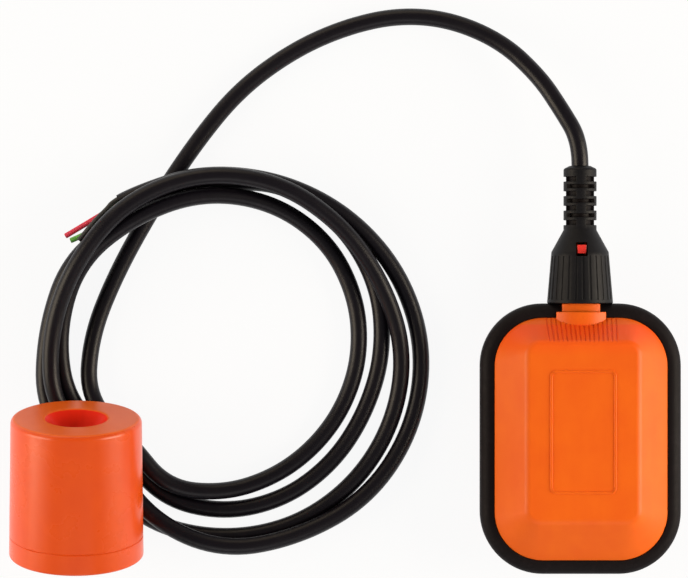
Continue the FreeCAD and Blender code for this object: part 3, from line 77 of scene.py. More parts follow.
CABLE = 7.0
BOOT_MOUTH = (0, 111.4, 20)
LEAD = [
    (0, 121.7, 20), (-7.8, 135, 18.5), (-16.2, 148.1, 14.5), (-31.2, 162.8, 10), (-52.4, 172.3, 6.5),
    (-73.9, 174.3, 4.5), (-95.6, 169.6, 3.5), (-117.3, 160, 3.5), (-139.5, 143.9, 3.9),
    (-157.5, 122.2, 3.6), (-175.8, 94.6, 3.5), (-191.4, 66.2, 3.6),
]
COIL_MIDDLE = (-142.9, 31.7)
COIL_START = 171
COIL_STEP = 24
COIL = [
    (59.1, 3.5), (61.9, 4.4), (53.7, 10.8), (59, 9), (55.1, 5.6), (51.4, 3.7), (49.7, 3.5), (50.4, 3.7),
    (53.3, 3.7), (57.8, 3.5), (63.3, 3.8), (67.5, 7.8), (70.2, 15.3), (71.2, 18.9), (75, 13.3), (72.8, 8.3),
    (70.4, 3.5), (58.4, 3.5), (64, 3.7), (63.4, 3.5), (61.5, 3.6), (59.7, 3.6), (59.5, 3.6), (62.9, 3.6),
    (68.2, 3.6), (72.7, 3.6), (76.9, 3.5), (73.3, 6.4), (72.2, 12.3), (79.3, 5.4), (78.2, 3.7), (80.9, 3.5),
    (73.4, 3.5), (76, 3.5), (74.5, 4.1), (73.7, 3.6), (72.5, 3.5), (71.8, 4.2), (71.7, 6.7), (70.2, 10.9),
    (72.3, 15.5), (76.1, 18.8), (78.2, 20.4), (78, 23.2), (75.6, 21.6), (75.5, 15.5), (76.3, 10.1),
    (65.4, 4.3), (73.3, 12.9), (78.5, 13.8), (77.9, 9.9), (80.1, 6.1), (80.3, 3.7), (80, 3.5), (78.5, 5.3),
    (77.2, 9.7), (77, 11.3), (78.4, 13.4),
]
LAST_BEND = (-182.4, 100.12, 12.0)
CUT_END = (-188.46, 96.62, 12.0)


def in_metres(points):
    return [Vector(point) / 1000 for point in points]


def coil_points():
    """The turns, fifteen points each: reach from the coil's middle and height above the floor."""
    points = []
    for number, (reach, height) in enumerate(COIL):
        turn = math.radians(COIL_START + COIL_STEP * number)
        across = COIL_MIDDLE[0] + reach * math.cos(turn)
        along = COIL_MIDDLE[1] + reach * math.sin(turn)
        points.append((across, along, height))
    return points


def soft_line(name, points, diameter, steps):
    """A smooth spline through a soft route; each point's radius gives the round section its size."""
    curve = bpy.data.curves.new(name, "CURVE")
    curve.dimensions = "3D"
    spline = curve.splines.new("NURBS")
    spline.points.add(len(points) - 1)
    for point, place in zip(spline.points, points):
        point.co = (*place, 1)
        point.radius = diameter / 2
    spline.order_u = 3
    spline.use_endpoint_u = True
    spline.resolution_u = steps
    curve.bevel_depth = 1
    curve.bevel_resolution = 5
    curve.use_fill_caps = True
    piece = bpy.data.objects.new(name, curve)
    bpy.context.scene.collection.objects.link(piece)
    return piece


route = [BOOT_MOUTH] + LEAD + coil_points() + [LAST_BEND, CUT_END]
cable = soft_line("cable", in_metres(route), CABLE / 1000, steps=10)
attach(cable, "float")
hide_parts("cable_lead", "cable_coil")


# The cut cores, laid out from the jacket's end: where each leaves it, and the places it passes

CORE = 2.2
CORE_OFFSET = 1.9
CORE_STRAIGHT = 3
ALONG = Vector((-0.866, -0.5, 0))
ACROSS = Vector((0.5, -0.866, 0))
CORES = {
    "black": (150, [(-5.2, -2.6, 1.4), (-10.3, -7.4, 1.7), (-16.9, -15.6, 1.2)]),
    "red": (270, [(-9.5, -5.8, -3.0), (-23.0, -13.6, -6.4)]),
    "green": (30, [(-6.2, -7.2, 0.6), (-12.0, -12.0, -1.2), (-20.6, -15.6, -1.9)]),
}


def cut_core(colour):
    """One core: it starts inside the jacket, runs straight out of it and then bends away."""
    turn, spots = CORES[colour]
    end = Vector(CUT_END)
    up = Vector((0, 0, math.sin(math.radians(turn))))
    side = CORE_OFFSET * (ACROSS * math.cos(math.radians(turn)) + up)
    points = [end + side - ALONG, end + side + CORE_STRAIGHT * ALONG]
    points += [end + Vector(spot) for spot in spots]
    core = soft_line("cut_core_" + colour, in_metres(points), CORE / 1000, steps=12)
    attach(core, "float")
    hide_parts("core_" + colour)
    return core


cut_cores = {colour: cut_core(colour) for colour in CORES}


# Shader maths: a Signal carries a socket, and sums and products of signals add their nodes.

class Signal:
    def __init__(self, tree, socket):
        self.tree = tree
        self.socket = socket

    def maths(self, operation, first, second):
        node = self.tree.nodes.new("ShaderNodeMath")
        node.operation = operation
        feed(self.tree, node.inputs[0], first)
        feed(self.tree, node.inputs[1], second)
        return Signal(self.tree, node.outputs[0])

    def __add__(self, other):
        return self.maths("ADD", self, other)

    __radd__ = __add__

    def __sub__(self, other):
        return self.maths("SUBTRACT", self, other)

    def __rsub__(self, other):
        return self.maths("SUBTRACT", other, self)

    def __mul__(self, other):
        return self.maths("MULTIPLY", self, other)

    __rmul__ = __mul__

    def at_most(self, level):
        return self.maths("MINIMUM", self, level)


def feed(tree, socket, term):
    """Links a signal to a socket, or sets a number, vector or opaque colour on it."""
    if isinstance(term, Signal):
        tree.links.new(term.socket, socket)
    elif socket.type == "RGBA":
        socket.default_value = (*term, 1)
    else:
        socket.default_value = term


class Nodes:
    """A node tree with the one method that adds nodes to it."""

    def __init__(self, tree):
        self.tree = tree

    def node(self, kind, settings=None, sockets=None, out=0):
        """Any node: its settings first, then the values or links of its sockets."""
        node = self.tree.nodes.new(kind)
        for name, setting in (settings or {}).items():
            setattr(node, name, setting)
        for name, term in (sockets or {}).items():
            feed(self.tree, node.inputs[name], term)
        return Signal(self.tree, node.outputs[out])


class Finish(Nodes):
    """One procedural material; its shader is a Principled node."""

    SOCKETS = {"colour": "Base Color", "rough": "Roughness", "metal": "Metallic", "normal": "Normal",
               "gloss": "Specular IOR Level"}

    def __init__(self, name):
        self.material = bpy.data.materials.new(name)
        self.material.use_nodes = True
        super().__init__(self.material.node_tree)
        self.shader = self.tree.nodes["Principled BSDF"]
        self.place = self.node("ShaderNodeTexCoord", out="Object")

    def noise(self, size, detail=3, rough=0.5, stretch=(1, 1, 1)):
        """Cloudy noise from 0 to 1 whose lumps are about that many millimetres across."""
        spot = self.node("ShaderNodeMapping", {}, {"Vector": self.place, "Scale": stretch})
        return self.node("ShaderNodeTexNoise", {}, {"Vector": spot, "Scale": 1000 / size,
                                                    "Detail": detail, "Roughness": rough})

    def blend(self, share, first, second):
        """A colour between two others."""
        return self.node("ShaderNodeMix", {"data_type": "RGBA"}, {0: share, 6: first, 7: second}, out=2)

    def fade(self, signal, low, high):
        """0 up to the low value, 1 from the high one, and even between."""
        return self.node("ShaderNodeMapRange", {}, {0: signal, 1: low, 2: high})

    def bump(self, height, depth, strength=1.0, under=None):
        """Relief of a height from 0 to 1, its depth in millimetres."""
        sockets = {"Height": height, "Distance": depth / 1000, "Strength": strength}
        if under:
            sockets["Normal"] = under
        return self.node("ShaderNodeBump", {}, sockets)

    def set(self, **inputs):
        for name, term in inputs.items():
            feed(self.tree, self.shader.inputs[self.SOCKETS[name]], term)
        return self.material


# How far the painted shade's sharp end takes to fade, in millimetres.
SHADE_EDGE = 0.6


def painted_shade_strip(finish, start, full, end):
    """1 along a strip of painted shade towards the float's neck: it fades in from start to full and stops
    at a sharp end.
    """
    along = finish.node("ShaderNodeSeparateXYZ", {}, {0: finish.place}, out=1)
    return (finish.fade(along, start * MM, full * MM)
            - finish.fade(along, end * MM, (end + SHADE_EDGE) * MM))


def moulded_plastic(name, colour, deep, rough=0.3, grain=0.01, gloss=0.5, painted_shade=None):
    """Moulded plastic: cloudy pigment, faint flow, rubbed streaks and a fine eroded skin.

    A painted shade is its place along the float and the darker tone painted there, standing in for the
    shade on the top bevel by the neck."""
    finish = Finish(name)
    cloud = finish.noise(14, detail=4)
    flow = finish.noise(5, detail=2, stretch=(1, 0.25, 1))
    skin = finish.noise(0.35, detail=2, rough=0.6)
    swell = finish.noise(9, detail=2)
    scuff = finish.fade(finish.noise(2.2, detail=6, rough=0.75, stretch=(1, 4, 1)), 0.62, 0.78)
    tone = finish.blend(finish.fade(cloud * 0.7 + flow * 0.3, 0.3, 0.7), colour, deep)
    if painted_shade:
        zone, shade_colour = painted_shade
        # Painted shade: a deeper orange along a strip of the float towards the neck.
        tone = finish.blend(painted_shade_strip(finish, *zone), tone, shade_colour)
    return finish.set(
        colour=tone,
        rough=rough + 0.08 * cloud + 0.05 * scuff,
        normal=finish.bump(skin, grain, 0.6, under=finish.bump(swell, 0.03, 0.5)),
        gloss=gloss,
    )


def moulded_rubber(name, colour, worn, rough=0.5, grain=0.02, gloss=0.3):
    """Black thermoplastic rubber: matt skin with a faint bloom and rubbed patches."""
    finish = Finish(name)
    cloud = finish.noise(11, detail=5, rough=0.6)
    skin = finish.noise(0.4, detail=3, rough=0.65)
    bloom = finish.fade(finish.noise(3.5, detail=6, rough=0.7), 0.5, 0.8)
    return finish.set(
        colour=finish.blend(bloom * 0.8, colour, worn),
        rough=rough + 0.16 * cloud - 0.08 * bloom,
        normal=finish.bump(skin, grain, 0.7, under=finish.bump(cloud, 0.05, 0.4)),
        gloss=gloss,
    )


def metal(name, colour, dark, rough=0.3, grain=0.004, stretch=(1, 8, 1)):
    """Bare metal: fine lines from drawing or rolling, and darker stains."""
    finish = Finish(name)
    drawn = finish.noise(0.8, detail=4, rough=0.6, stretch=stretch)
    stain = finish.fade(finish.noise(4, detail=5, rough=0.6), 0.45, 0.75)
    return finish.set(
        colour=finish.blend(stain * 0.6, colour, dark),
        metal=1.0,
        rough=rough + 0.15 * drawn + 0.1 * stain,
        normal=finish.bump(drawn, grain),
    )


def core_skin(name, colour, deep):
    """Soft PVC on a core: waxy, a little uneven from the stripping."""
    finish = Finish(name)
    lump = finish.noise(1.6, detail=3, rough=0.6)
    return finish.set(
        colour=finish.blend(lump, colour, deep),
        rough=0.38 + 0.15 * lump,
        normal=finish.bump(lump, 0.05, 0.6),
    )


NO_STRETCH = (1, 1, 1)
FINISHES = {
    # The float's plastic carries painted shade: a deeper orange on the strip towards the neck.
    "float_orange": moulded_plastic(
        "float_orange_plastic", (0.83, 0.138, 0.007), (0.78, 0.11, 0.006), rough=0.36, gloss=0.22,
        painted_shade=((34, 43, 46.4), (0.85, 0.088, 0.006))),
    "weight_orange": moulded_plastic(
        "weight_orange_plastic", (0.72, 0.082, 0.005), (0.67, 0.066, 0.004), rough=0.24, gloss=0.42),
    "band_black": moulded_rubber(
        "band_black_rubber", (0.006, 0.004, 0.005), (0.013, 0.009, 0.011), gloss=0.11),
    "boot_black": moulded_rubber(
        "boot_black_rubber", (0.003, 0.003, 0.005), (0.009, 0.008, 0.011), rough=0.46, gloss=0.2),
    "jacket_black": moulded_rubber(
        "jacket_black_rubber", (0.004, 0.003, 0.006), (0.01, 0.008, 0.012), rough=0.3, gloss=0.24),
    "seal_rubber": moulded_rubber(
        "seal_grey_rubber", (0.03, 0.03, 0.03), (0.06, 0.06, 0.06), rough=0.6),
    "resin": moulded_plastic(
        "potting_resin", (0.1, 0.06, 0.03), (0.06, 0.035, 0.015), rough=0.15, grain=0.004),
    "core_black": core_skin("core_black_pvc", (0.016, 0.016, 0.017), (0.03, 0.03, 0.03)),
    "core_red": core_skin("core_red_pvc", (0.7, 0.02, 0.07), (0.5, 0.015, 0.05)),
    "core_green": core_skin("core_green_pvc", (0.12, 0.42, 0.06), (0.08, 0.28, 0.05)),
    "tab_red": moulded_plastic(
        "tab_red_plastic", (0.72, 0.03, 0.02), (0.6, 0.02, 0.015), rough=0.35),
    "spring_steel": metal("spring_steel_blued", (0.5, 0.5, 0.52), (0.3, 0.29, 0.3)),
    "frame_plastic": moulded_plastic(
        "frame_white_plastic", (0.78, 0.77, 0.72), (0.7, 0.69, 0.64), rough=0.4),
    "lever_plastic": moulded_plastic(
        "lever_white_plastic", (0.8, 0.79, 0.75), (0.74, 0.72, 0.67), rough=0.35),
    "switch_plastic": moulded_plastic(
        "switch_black_plastic", (0.03, 0.03, 0.034), (0.02, 0.02, 0.024), rough=0.45),
    "plunger_plastic": moulded_plastic(
        "plunger_red_plastic", (0.62, 0.1, 0.05), (0.5, 0.07, 0.03), rough=0.35),
    "screw_steel": metal("screw_zinc_steel", (0.62, 0.63, 0.66), (0.45, 0.43, 0.4)),
    "ball_steel": metal(
        "ball_polished_steel", (0.7, 0.7, 0.72), (0.6, 0.6, 0.6), rough=0.08, grain=0.001,
        stretch=NO_STRETCH),
    "terminal_brass": metal("terminal_rolled_brass", (0.75, 0.52, 0.22), (0.5, 0.32, 0.13)),
    "blade_bronze": metal("blade_spring_bronze", (0.7, 0.43, 0.24), (0.5, 0.28, 0.15)),
    "ballast_iron": metal(
        "ballast_cast_iron", (0.2, 0.2, 0.2), (0.12, 0.09, 0.07), rough=0.55, grain=0.06,
        stretch=NO_STRETCH),
    # Painted shade: a deeper red for the funnel and tube inside the weight, standing in for the shade in
    # the hole.
    "weight_throat": moulded_plastic(
        "weight_throat_painted_shade", (0.82, 0.026, 0.006), (0.72, 0.018, 0.005), rough=0.3, gloss=0.1),
    "ring_red": moulded_plastic(
        "ring_red_plastic", (0.6, 0.02, 0.012), (0.5, 0.015, 0.01), rough=0.3),
}


def dress(piece, slot):
    """The slot's finish on the whole piece."""
    materials = piece.data.materials
    materials.clear()
    materials.append(FINISHES[slot])


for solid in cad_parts.values():
    for seat in solid.material_slots:
        seat.material = FINISHES[seat.material.name.split(".")[0]]
dress(cable, "jacket_black")
for colour, core in cut_cores.items():
    dress(core, "core_" + colour)


# Modelling by hand: primitives shaped in edit mode

SEAM = 20
NEAR = 0.01
ON_OUTLINE = 0.05
CORNER_STEPS = 20
SMOOTH_ANGLE = 35
WELD = 0.001


def metres(place):
    return [length * MM for length in place]


def turned(angle, axis):
    return Matrix.Rotation(math.radians(angle), 4, axis)


def only(piece):
    bpy.ops.object.select_all(action="DESELECT")
    piece.select_set(True)
    bpy.context.view_layer.objects.active = piece


def new_piece(name, add, **settings):
    """A primitive at its size and place, left in edit mode and selected all over."""
    bpy.ops.object.select_all(action="DESELECT")
    add(**settings)
    piece = bpy.context.object
    piece.name = name
    bpy.ops.object.transform_apply(location=True, rotation=True, scale=True)
    bpy.ops.object.mode_set(mode="EDIT")
    bpy.ops.mesh.select_mode(type="VERT")
    bpy.ops.mesh.select_all(action="SELECT")
    return piece


def empty_piece(name):
    """A piece with nothing in it yet, left in edit mode."""
    piece = new_piece(name, bpy.ops.mesh.primitive_plane_add, size=MM)
    bpy.ops.mesh.delete(type="VERT")
    return piece


def enter(piece):
    only(piece)
    bpy.ops.object.mode_set(mode="EDIT")


def leave():
    bpy.ops.object.mode_set(mode="OBJECT")


def pick(kind, chosen):
    """Selects the faces, edges or corners whose middle, in millimetres, passes a test."""
    bpy.ops.mesh.select_mode(type=kind)
    bpy.ops.mesh.select_all(action="DESELECT")
    mesh = bmesh.from_edit_mesh(bpy.context.object.data)
    for item in {"FACE": mesh.faces, "EDGE": mesh.edges, "VERT": mesh.verts}[kind]:
        corners = [item] if kind == "VERT" else item.verts
        middle = sum((corner.co for corner in corners), Vector()) / len(corners) / MM
        item.select_set(bool(chosen(middle, item)))
    mesh.select_flush_mode()
    bmesh.update_edit_mesh(bpy.context.object.data)


def bevel(width, segments):
    """Rounds the edges that are picked."""
    bpy.ops.mesh.bevel(offset=width * MM, segments=segments, affect="EDGES")


def raise_by(height):
    bpy.ops.mesh.extrude_region_move(TRANSFORM_OT_translate={"value": (0, 0, height * MM)})


def squeeze(share):
    """Scales what is selected towards the Z axis."""
    bpy.ops.transform.resize(value=(share, share, 1), center_override=(0, 0, 0))


def tidy_surface():
    """Welds what lies on the same spot and turns the faces outwards."""
    bpy.ops.mesh.select_mode(type="VERT")
    bpy.ops.mesh.select_all(action="SELECT")
    bpy.ops.mesh.remove_doubles(threshold=WELD * MM)
    bpy.ops.mesh.normals_make_consistent(inside=False)


def rounded_outline(width, length, corner, middle, height, steps=CORNER_STEPS):
    """In edit mode: a flat outline with round corners, added to the piece and left selected."""
    spot = (0, middle * MM, height * MM)
    bpy.ops.mesh.select_all(action="DESELECT")
    bpy.ops.mesh.primitive_plane_add(size=MM, location=spot)
    bpy.ops.transform.resize(value=(width, length, 1), center_override=spot)
    bpy.ops.mesh.select_mode(type="VERT")
    bpy.ops.mesh.bevel(offset=corner * MM, segments=steps, affect="VERTICES")
    bpy.ops.mesh.select_mode(type="FACE")


def outline_wall(thickness):
    """The picked outline narrowed to a flat strip along its edge, left selected."""
    bpy.ops.mesh.inset(thickness=thickness * MM, use_even_offset=True)
    bpy.ops.mesh.delete(type="FACE")
    bpy.ops.mesh.select_all(action="SELECT")


def lathed(name, section, steps):
    """A closed section of radius and height pairs: a ring is extruded and scaled along it."""
    radius, height = section[0]
    piece = new_piece(name, bpy.ops.mesh.primitive_circle_add, vertices=steps, radius=radius * MM,
                      location=(0, 0, height * MM))
    for next_radius, next_height in section[1:] + section[:1]:
        raise_by(next_height - height)
        squeeze(next_radius / radius)
        radius, height = next_radius, next_height
    tidy_surface()
    leave()
    return piece


def put(piece, placement):
    """Moves and turns the piece's own mesh; its object stays at the origin."""
    only(piece)
    piece.matrix_world = placement
    bpy.ops.object.transform_apply(location=True, rotation=True, scale=True)


def modified(piece, kind, **settings):
    only(piece)
    change = piece.modifiers.new(kind.lower(), kind)
    for name, setting in settings.items():
        setattr(change, name, setting)
    bpy.ops.object.modifier_apply(modifier=change.name)


def edges_eased(piece, width, segments, angle=30):
    modified(piece, "BEVEL", width=width * MM, segments=segments, limit_method="ANGLE",
             angle_limit=math.radians(angle), harden_normals=False)


def joined(piece, tool, operation="UNION"):
    """The tool united with the piece or cut from it, and used up."""
    modified(piece, "BOOLEAN", object=tool, operation=operation, solver="EXACT")
    bpy.data.objects.remove(tool)


def cut_from(piece, tool):
    joined(piece, tool, "DIFFERENCE")


def ready(piece, node, body, slot):
    """Finish, shading and its body for a finished piece, with the CAD node it replaces hidden."""
    only(piece)
    bpy.ops.object.shade_smooth_by_angle(angle=math.radians(SMOOTH_ANGLE))
    modified(piece, "WEIGHTED_NORMAL", keep_sharp=True, weight=80)
    if not piece.data.materials:
        dress(piece, slot)
    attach(piece, body)
    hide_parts(node)


def box(name, width, length, height, middle):
    """A plain block, to be shaped further or to cut with."""
    piece = new_piece(name, bpy.ops.mesh.primitive_cube_add, size=MM, location=metres(middle))
    bpy.ops.transform.resize(value=(width, length, height), center_override=metres(middle))
    leave()
    return piece


# The float's halves. An outline is its width, length, corner and how far along the float its middle is.

FLOAT_SIDE = (70.4, 98.8, 19.7, 0)
FLOAT_FLAT = (45.5, 73.0, 5.0, 3.4)
FLOAT_SHOULDER = 6.5
FLOAT_TOP = 20
SHOULDER_ROUND = 0.5
FLAT_ROUND = 1.6
HOLLOW_SIDE = (65.6, 94.0, 17.3, 0)
HOLLOW_FLAT = (43.3, 70.8, 3.9, 3.4)
HOLLOW_SHOULDER = 5.5
HOLLOW_TOP = 17.6
FLANGE = (76.4, 104.8, 22.7, 0)
FLANGE_THICKNESS = 1.8

COLLAR_HALF = 10.15
COLLAR_CROWN = 10.8
COLLAR_START = 44
COLLAR_END = 51.8
STEP_HALF = 7.7
STEP_CROWN = 8.8
STEP_START = 51.7
BOOT_START = 55.2
NECK_WALL = 7.2
NECK_STEPS = 96
ARCH_STEPS = 240
NECK_TURNING = [
    (1, COLLAR_START), (COLLAR_HALF, COLLAR_START), (COLLAR_HALF, COLLAR_END), (STEP_HALF, COLLAR_END),
    (STEP_HALF, 68), (5.5, 68), (5.5, 81), (1, 81),
]
NECK_BORE = [(1, 24), (6.6, 24), (6.6, 50), (5.6, 50), (5.6, 60), (3.65, 60), (3.65, 82), (1, 82)]

TO_SEAM = Matrix.Translation((0, 0, SEAM * MM))
FROM_SEAM = Matrix.Translation((0, 0, -SEAM * MM))
LAID_ALONG = TO_SEAM @ turned(-90, "X")


def sloping_block(name, side, foot, shoulder, flat, top, eased=False):
    """A block of the float's outline whose upper part slopes in to a flat."""
    piece = empty_piece(name)
    low, high = SEAM + shoulder, SEAM + top
    rounded_outline(*side, SEAM + foot)
    raise_by(shoulder - foot)
    rounded_outline(*flat, high)
    pick("FACE", lambda middle, face: middle.z > low - NEAR and abs(face.normal.z) > 0.9)
    bpy.ops.mesh.delete(type="ONLY_FACE")
    pick("EDGE", lambda middle, edge: middle.z > low - NEAR)
    bpy.ops.mesh.bridge_edge_loops()
    pick("EDGE", lambda middle, edge: middle.z > high - NEAR)
    bpy.ops.mesh.edge_face_add()
    tidy_surface()
    if eased:
        pick("EDGE", lambda middle, edge: middle.z > high - NEAR)
        bevel(FLAT_ROUND, 6)
        pick("EDGE", lambda middle, edge: abs(middle.z - low) < NEAR)
        bevel(SHOULDER_ROUND, 3)
    leave()
    return piece


def arched_block(name, half, crown, start, end):
    """A block of the neck: a cylinder cut down to upright sides under an arched top."""
    rise = crown - NECK_WALL
    radius = (half ** 2 + rise ** 2) / (2 * rise)
    piece = new_piece(name, bpy.ops.mesh.primitive_cylinder_add, vertices=ARCH_STEPS,
                      radius=radius * MM, depth=(end - start) * MM, rotation=(math.pi / 2, 0, 0),
                      location=(0, (start + end) / 2 * MM, (SEAM + crown - radius) * MM))
    for spot, way in (((half, 0, 0), (1, 0, 0)), ((-half, 0, 0), (-1, 0, 0)), ((0, 0, SEAM), (0, 0, -1))):
        bpy.ops.mesh.select_all(action="SELECT")
        bpy.ops.mesh.bisect(plane_co=metres(spot), plane_no=way, use_fill=True, clear_outer=True)
    tidy_surface()
    leave()
    edges_eased(piece, 0.3, 3, angle=40)
    return piece


def neck_along(section):
    """A lathed form laid along the float, on the seam."""
    piece = lathed("neck_turning", section, NECK_STEPS)
    put(piece, LAID_ALONG)
    return piece


def half_of(piece):
    """Keeps what stands above the seam."""
    enter(piece)
    bpy.ops.mesh.select_all(action="SELECT")
    bpy.ops.mesh.bisect(plane_co=(0, 0, SEAM * MM), plane_no=(0, 0, -1), use_fill=True, clear_outer=True)
    leave()
    return piece


def flange_plate():
    """The flat edge that the rim grips."""
    piece = empty_piece("flange")
    rounded_outline(*FLANGE, SEAM)
    raise_by(FLANGE_THICKNESS)
    tidy_surface()
    leave()
    return piece


def float_half(name, grip=None):
    """Flange, sides, bevel and flat, hollow inside, with half of the neck."""
    shell = sloping_block(name, FLOAT_SIDE, 0, FLOAT_SHOULDER, FLOAT_FLAT, FLOAT_TOP, eased=True)
    if grip:
        cut_from(shell, grip)
    joined(shell, flange_plate())
    cut_from(shell, sloping_block("hollow", HOLLOW_SIDE, -1, HOLLOW_SHOULDER, HOLLOW_FLAT, HOLLOW_TOP))
    joined(shell, half_of(neck_along(NECK_TURNING)))
    joined(shell, arched_block("collar", COLLAR_HALF, COLLAR_CROWN, COLLAR_START, COLLAR_END))
    joined(shell, arched_block("step", STEP_HALF, STEP_CROWN, STEP_START, BOOT_START))
    cut_from(shell, neck_along(NECK_BORE))
    return shell


LINE = (26.9, 50.0, 2.5, 3.4)
LINE_FOOT = 19.7
LINE_TOP = 20.4
LINE_WIDTH = 1.1


def raised_line():
    """The narrow raised line round the middle of the flat."""
    line = empty_piece("raised_line")
    rounded_outline(*LINE, SEAM + LINE_FOOT, steps=6)
    outline_wall(LINE_WIDTH)
    raise_by(LINE_TOP - LINE_FOOT)
    tidy_surface()
    pick("EDGE", lambda middle, edge: middle.z > SEAM + LINE_TOP - NEAR)
    bevel(0.3, 4)
    leave()
    return line


GROOVES = 16
GROOVE_PITCH = 1.85
GROOVE_FAN = 0.6
GROOVE_SIZE = (0.75, 16, 0.9)
GROOVE_ALONG = 44.9
GROOVE_HEIGHT = 13.15
BEVEL_RISE = FLOAT_TOP - FLOAT_SHOULDER
BEVEL_RUN = 9.5


def grip_grooves():
    """Fine grooves down the bevel below the neck: one cutter, copied and fanned out a little."""
    slope = math.atan2(BEVEL_RISE, BEVEL_RUN)
    groove = new_piece("groove", bpy.ops.mesh.primitive_cube_add, size=MM)
    bpy.ops.transform.resize(value=GROOVE_SIZE, center_override=(0, 0, 0))
    leave()
    edges_eased(groove, 0.22, 3)
    tools = []
    for number in range(GROOVES):
        only(groove)
        bpy.ops.object.duplicate()
        copy = bpy.context.object
        aside = number - (GROOVES - 1) / 2
        spot = Vector((aside * GROOVE_PITCH, GROOVE_ALONG, SEAM + GROOVE_HEIGHT)) * MM
        fan = turned(-GROOVE_FAN * aside, "Z")
        put(copy, Matrix.Translation(spot) @ fan @ Matrix.Rotation(-slope, 4, "X"))
        tools.append(copy)
    bpy.data.objects.remove(groove)
    for tool in tools:
        tool.select_set(True)
    bpy.context.view_layer.objects.active = tools[0]
    bpy.ops.object.join()
    return tools[0]


front_shell = float_half("front_shell_moulded", grip_grooves())
joined(front_shell, raised_line())
ready(front_shell, "front_shell", "float", "float_orange")

rear_shell = float_half("rear_shell_moulded")
put(rear_shell, TO_SEAM @ turned(180, "Y") @ FROM_SEAM)
ready(rear_shell, "rear_shell", "float", "float_orange")


# The rim between the halves

RIM_WIDTH = 82.0
RIM_LENGTH = 110.4
RIM_CORNER = 25.5
RIM_WALL = 5.8
RIM_HALF = 6.5
RIM_ROUND = 4.4
RIM_GROOVE_WIDTH = 3.6
RIM_GROOVE_DEPTH = 3.0
RIM_GAP_HEIGHT = 26
STEP_GAP_LENGTH = 8


def outline_reach(spot):
    """How far a place lies outside the rim's outline."""
    across = abs(spot.x) - (RIM_WIDTH / 2 - RIM_CORNER)
    along = abs(spot.y) - (RIM_LENGTH / 2 - RIM_CORNER)
    if across > 0 and along > 0:
        return math.hypot(across, along) - RIM_CORNER
    return max(across, along) - RIM_CORNER


def rim_edge(reach):
    """A test for the edges of the rim's top and foot that lie this far outside its outline."""
    def chosen(middle, edge):
        return abs(abs(middle.z - SEAM) - RIM_HALF) < NEAR and all(
            abs(outline_reach(corner.co / MM) - reach) < ON_OUTLINE for corner in edge.verts)
    return chosen


def rim_band():
    """A thick ring with round shoulders, a groove for the flanges and a gap for the neck."""
    band = empty_piece("rim_band_moulded")
    rounded_outline(RIM_WIDTH, RIM_LENGTH, RIM_CORNER, 0, SEAM - RIM_HALF)
    outline_wall(RIM_WALL)
    above_groove = RIM_HALF - RIM_GROOVE_WIDTH / 2
    for height in (above_groove, RIM_GROOVE_WIDTH, above_groove):
        raise_by(height)
    tidy_surface()
    pick("EDGE", rim_edge(0))
    bevel(RIM_ROUND, 10)
    pick("EDGE", rim_edge(-RIM_WALL))
    bevel(0.4, 3)
    pick("FACE", lambda middle, face: abs(middle.z - SEAM) < RIM_GROOVE_WIDTH / 2
         and outline_reach(middle) < 1 - RIM_WALL)
    bpy.ops.mesh.extrude_region_shrink_fatten(
        TRANSFORM_OT_shrink_fatten={"value": -RIM_GROOVE_DEPTH * MM})
    tidy_surface()
    leave()
    cut_from(band, box("collar_gap", 2 * COLLAR_HALF, COLLAR_END - COLLAR_START, RIM_GAP_HEIGHT,
                       (0, (COLLAR_START + COLLAR_END) / 2, SEAM)))
    cut_from(band, box("step_gap", 2 * STEP_HALF, STEP_GAP_LENGTH, RIM_GAP_HEIGHT,
                       (0, STEP_START + STEP_GAP_LENGTH / 2, SEAM)))
    return band


ready(rim_band(), "seam_band", "float", "band_black")


# The boot, with its latch

BOOT_STEPS = 168
BOOT_RADIUS = 13.5
RELIEF = 6.75
RELIEF_END = 110.2
SLOT_PITCH = 5.93
SIDE_SLOTS = [88.2 + SLOT_PITCH * number for number in range(4)]
SIDE_HALF = 1.0
SIDE_END = 73
FACE_SLOTS = [91.165 + SLOT_PITCH * number for number in range(3)]
FACE_HALF = 0.8
FACE_END = 32
SLOT_STEP = 5.75
SLOT_FLOOR = 4.4
PARTING_WEB = 6.4
FLUTES = 28
FLUTE_FOOT = 57
FLUTE_TOP = 74
FLUTE_SHARE = 0.34
FLUTE_DEPTH = 0.977
BELL = [(STEP_HALF, BOOT_START), (BOOT_RADIUS, BOOT_START), (13.36, 56.8), (11.84, 74.6), (11.7, 76.2),
        (RELIEF, 85.2)]
BOOT_TIP = [(RELIEF, RELIEF_END), (4.3, 111.4), (3.5, 111.4)]
BOOT_BORE = [(3.5, 81), (5.5, 81), (5.5, 68), (STEP_HALF, 68)]
SLOTTED = (86.5, 108.5)

LATCH_ALONG = 77.3
WINDOW_SIZE = (4.7, 5.7, 12)
WINDOW_MIDDLE = (0, LATCH_ALONG, 31)
BUTTON_SIZE = (3.7, 3.5, 3.4)
BUTTON_MIDDLE = (0, LATCH_ALONG, 29)
BUTTON_DISH = 0.12


def steepness(middle):
    """Degrees of a place about the boot's axis, from the mould's parting plane."""
    return math.degrees(math.atan2(abs(middle.y), abs(middle.x)))


def ring_at(height, least=0, most=1000):
    """A test for the edges of a turned piece's rings at a height, between two radii."""
    def chosen(middle, edge):
        first, second = (corner.co / MM for corner in edge.verts)
        level = abs(first.z - height) < NEAR and abs(second.z - height) < NEAR
        round_it = abs(first.xy.length - second.xy.length) < NEAR
        return level and round_it and least < first.xy.length < most
    return chosen


def push_in(share, chosen):
    """The picked faces pushed towards the axis, to a share of their radius."""
    pick("FACE", chosen)
    bpy.ops.mesh.extrude_region_move()
    squeeze(share)


def in_slot(height, slots, half):
    """Whether a height lies inside a slot, clear of the slot's walls."""
    return any(abs(height - slot) < half - 0.1 for slot in slots)


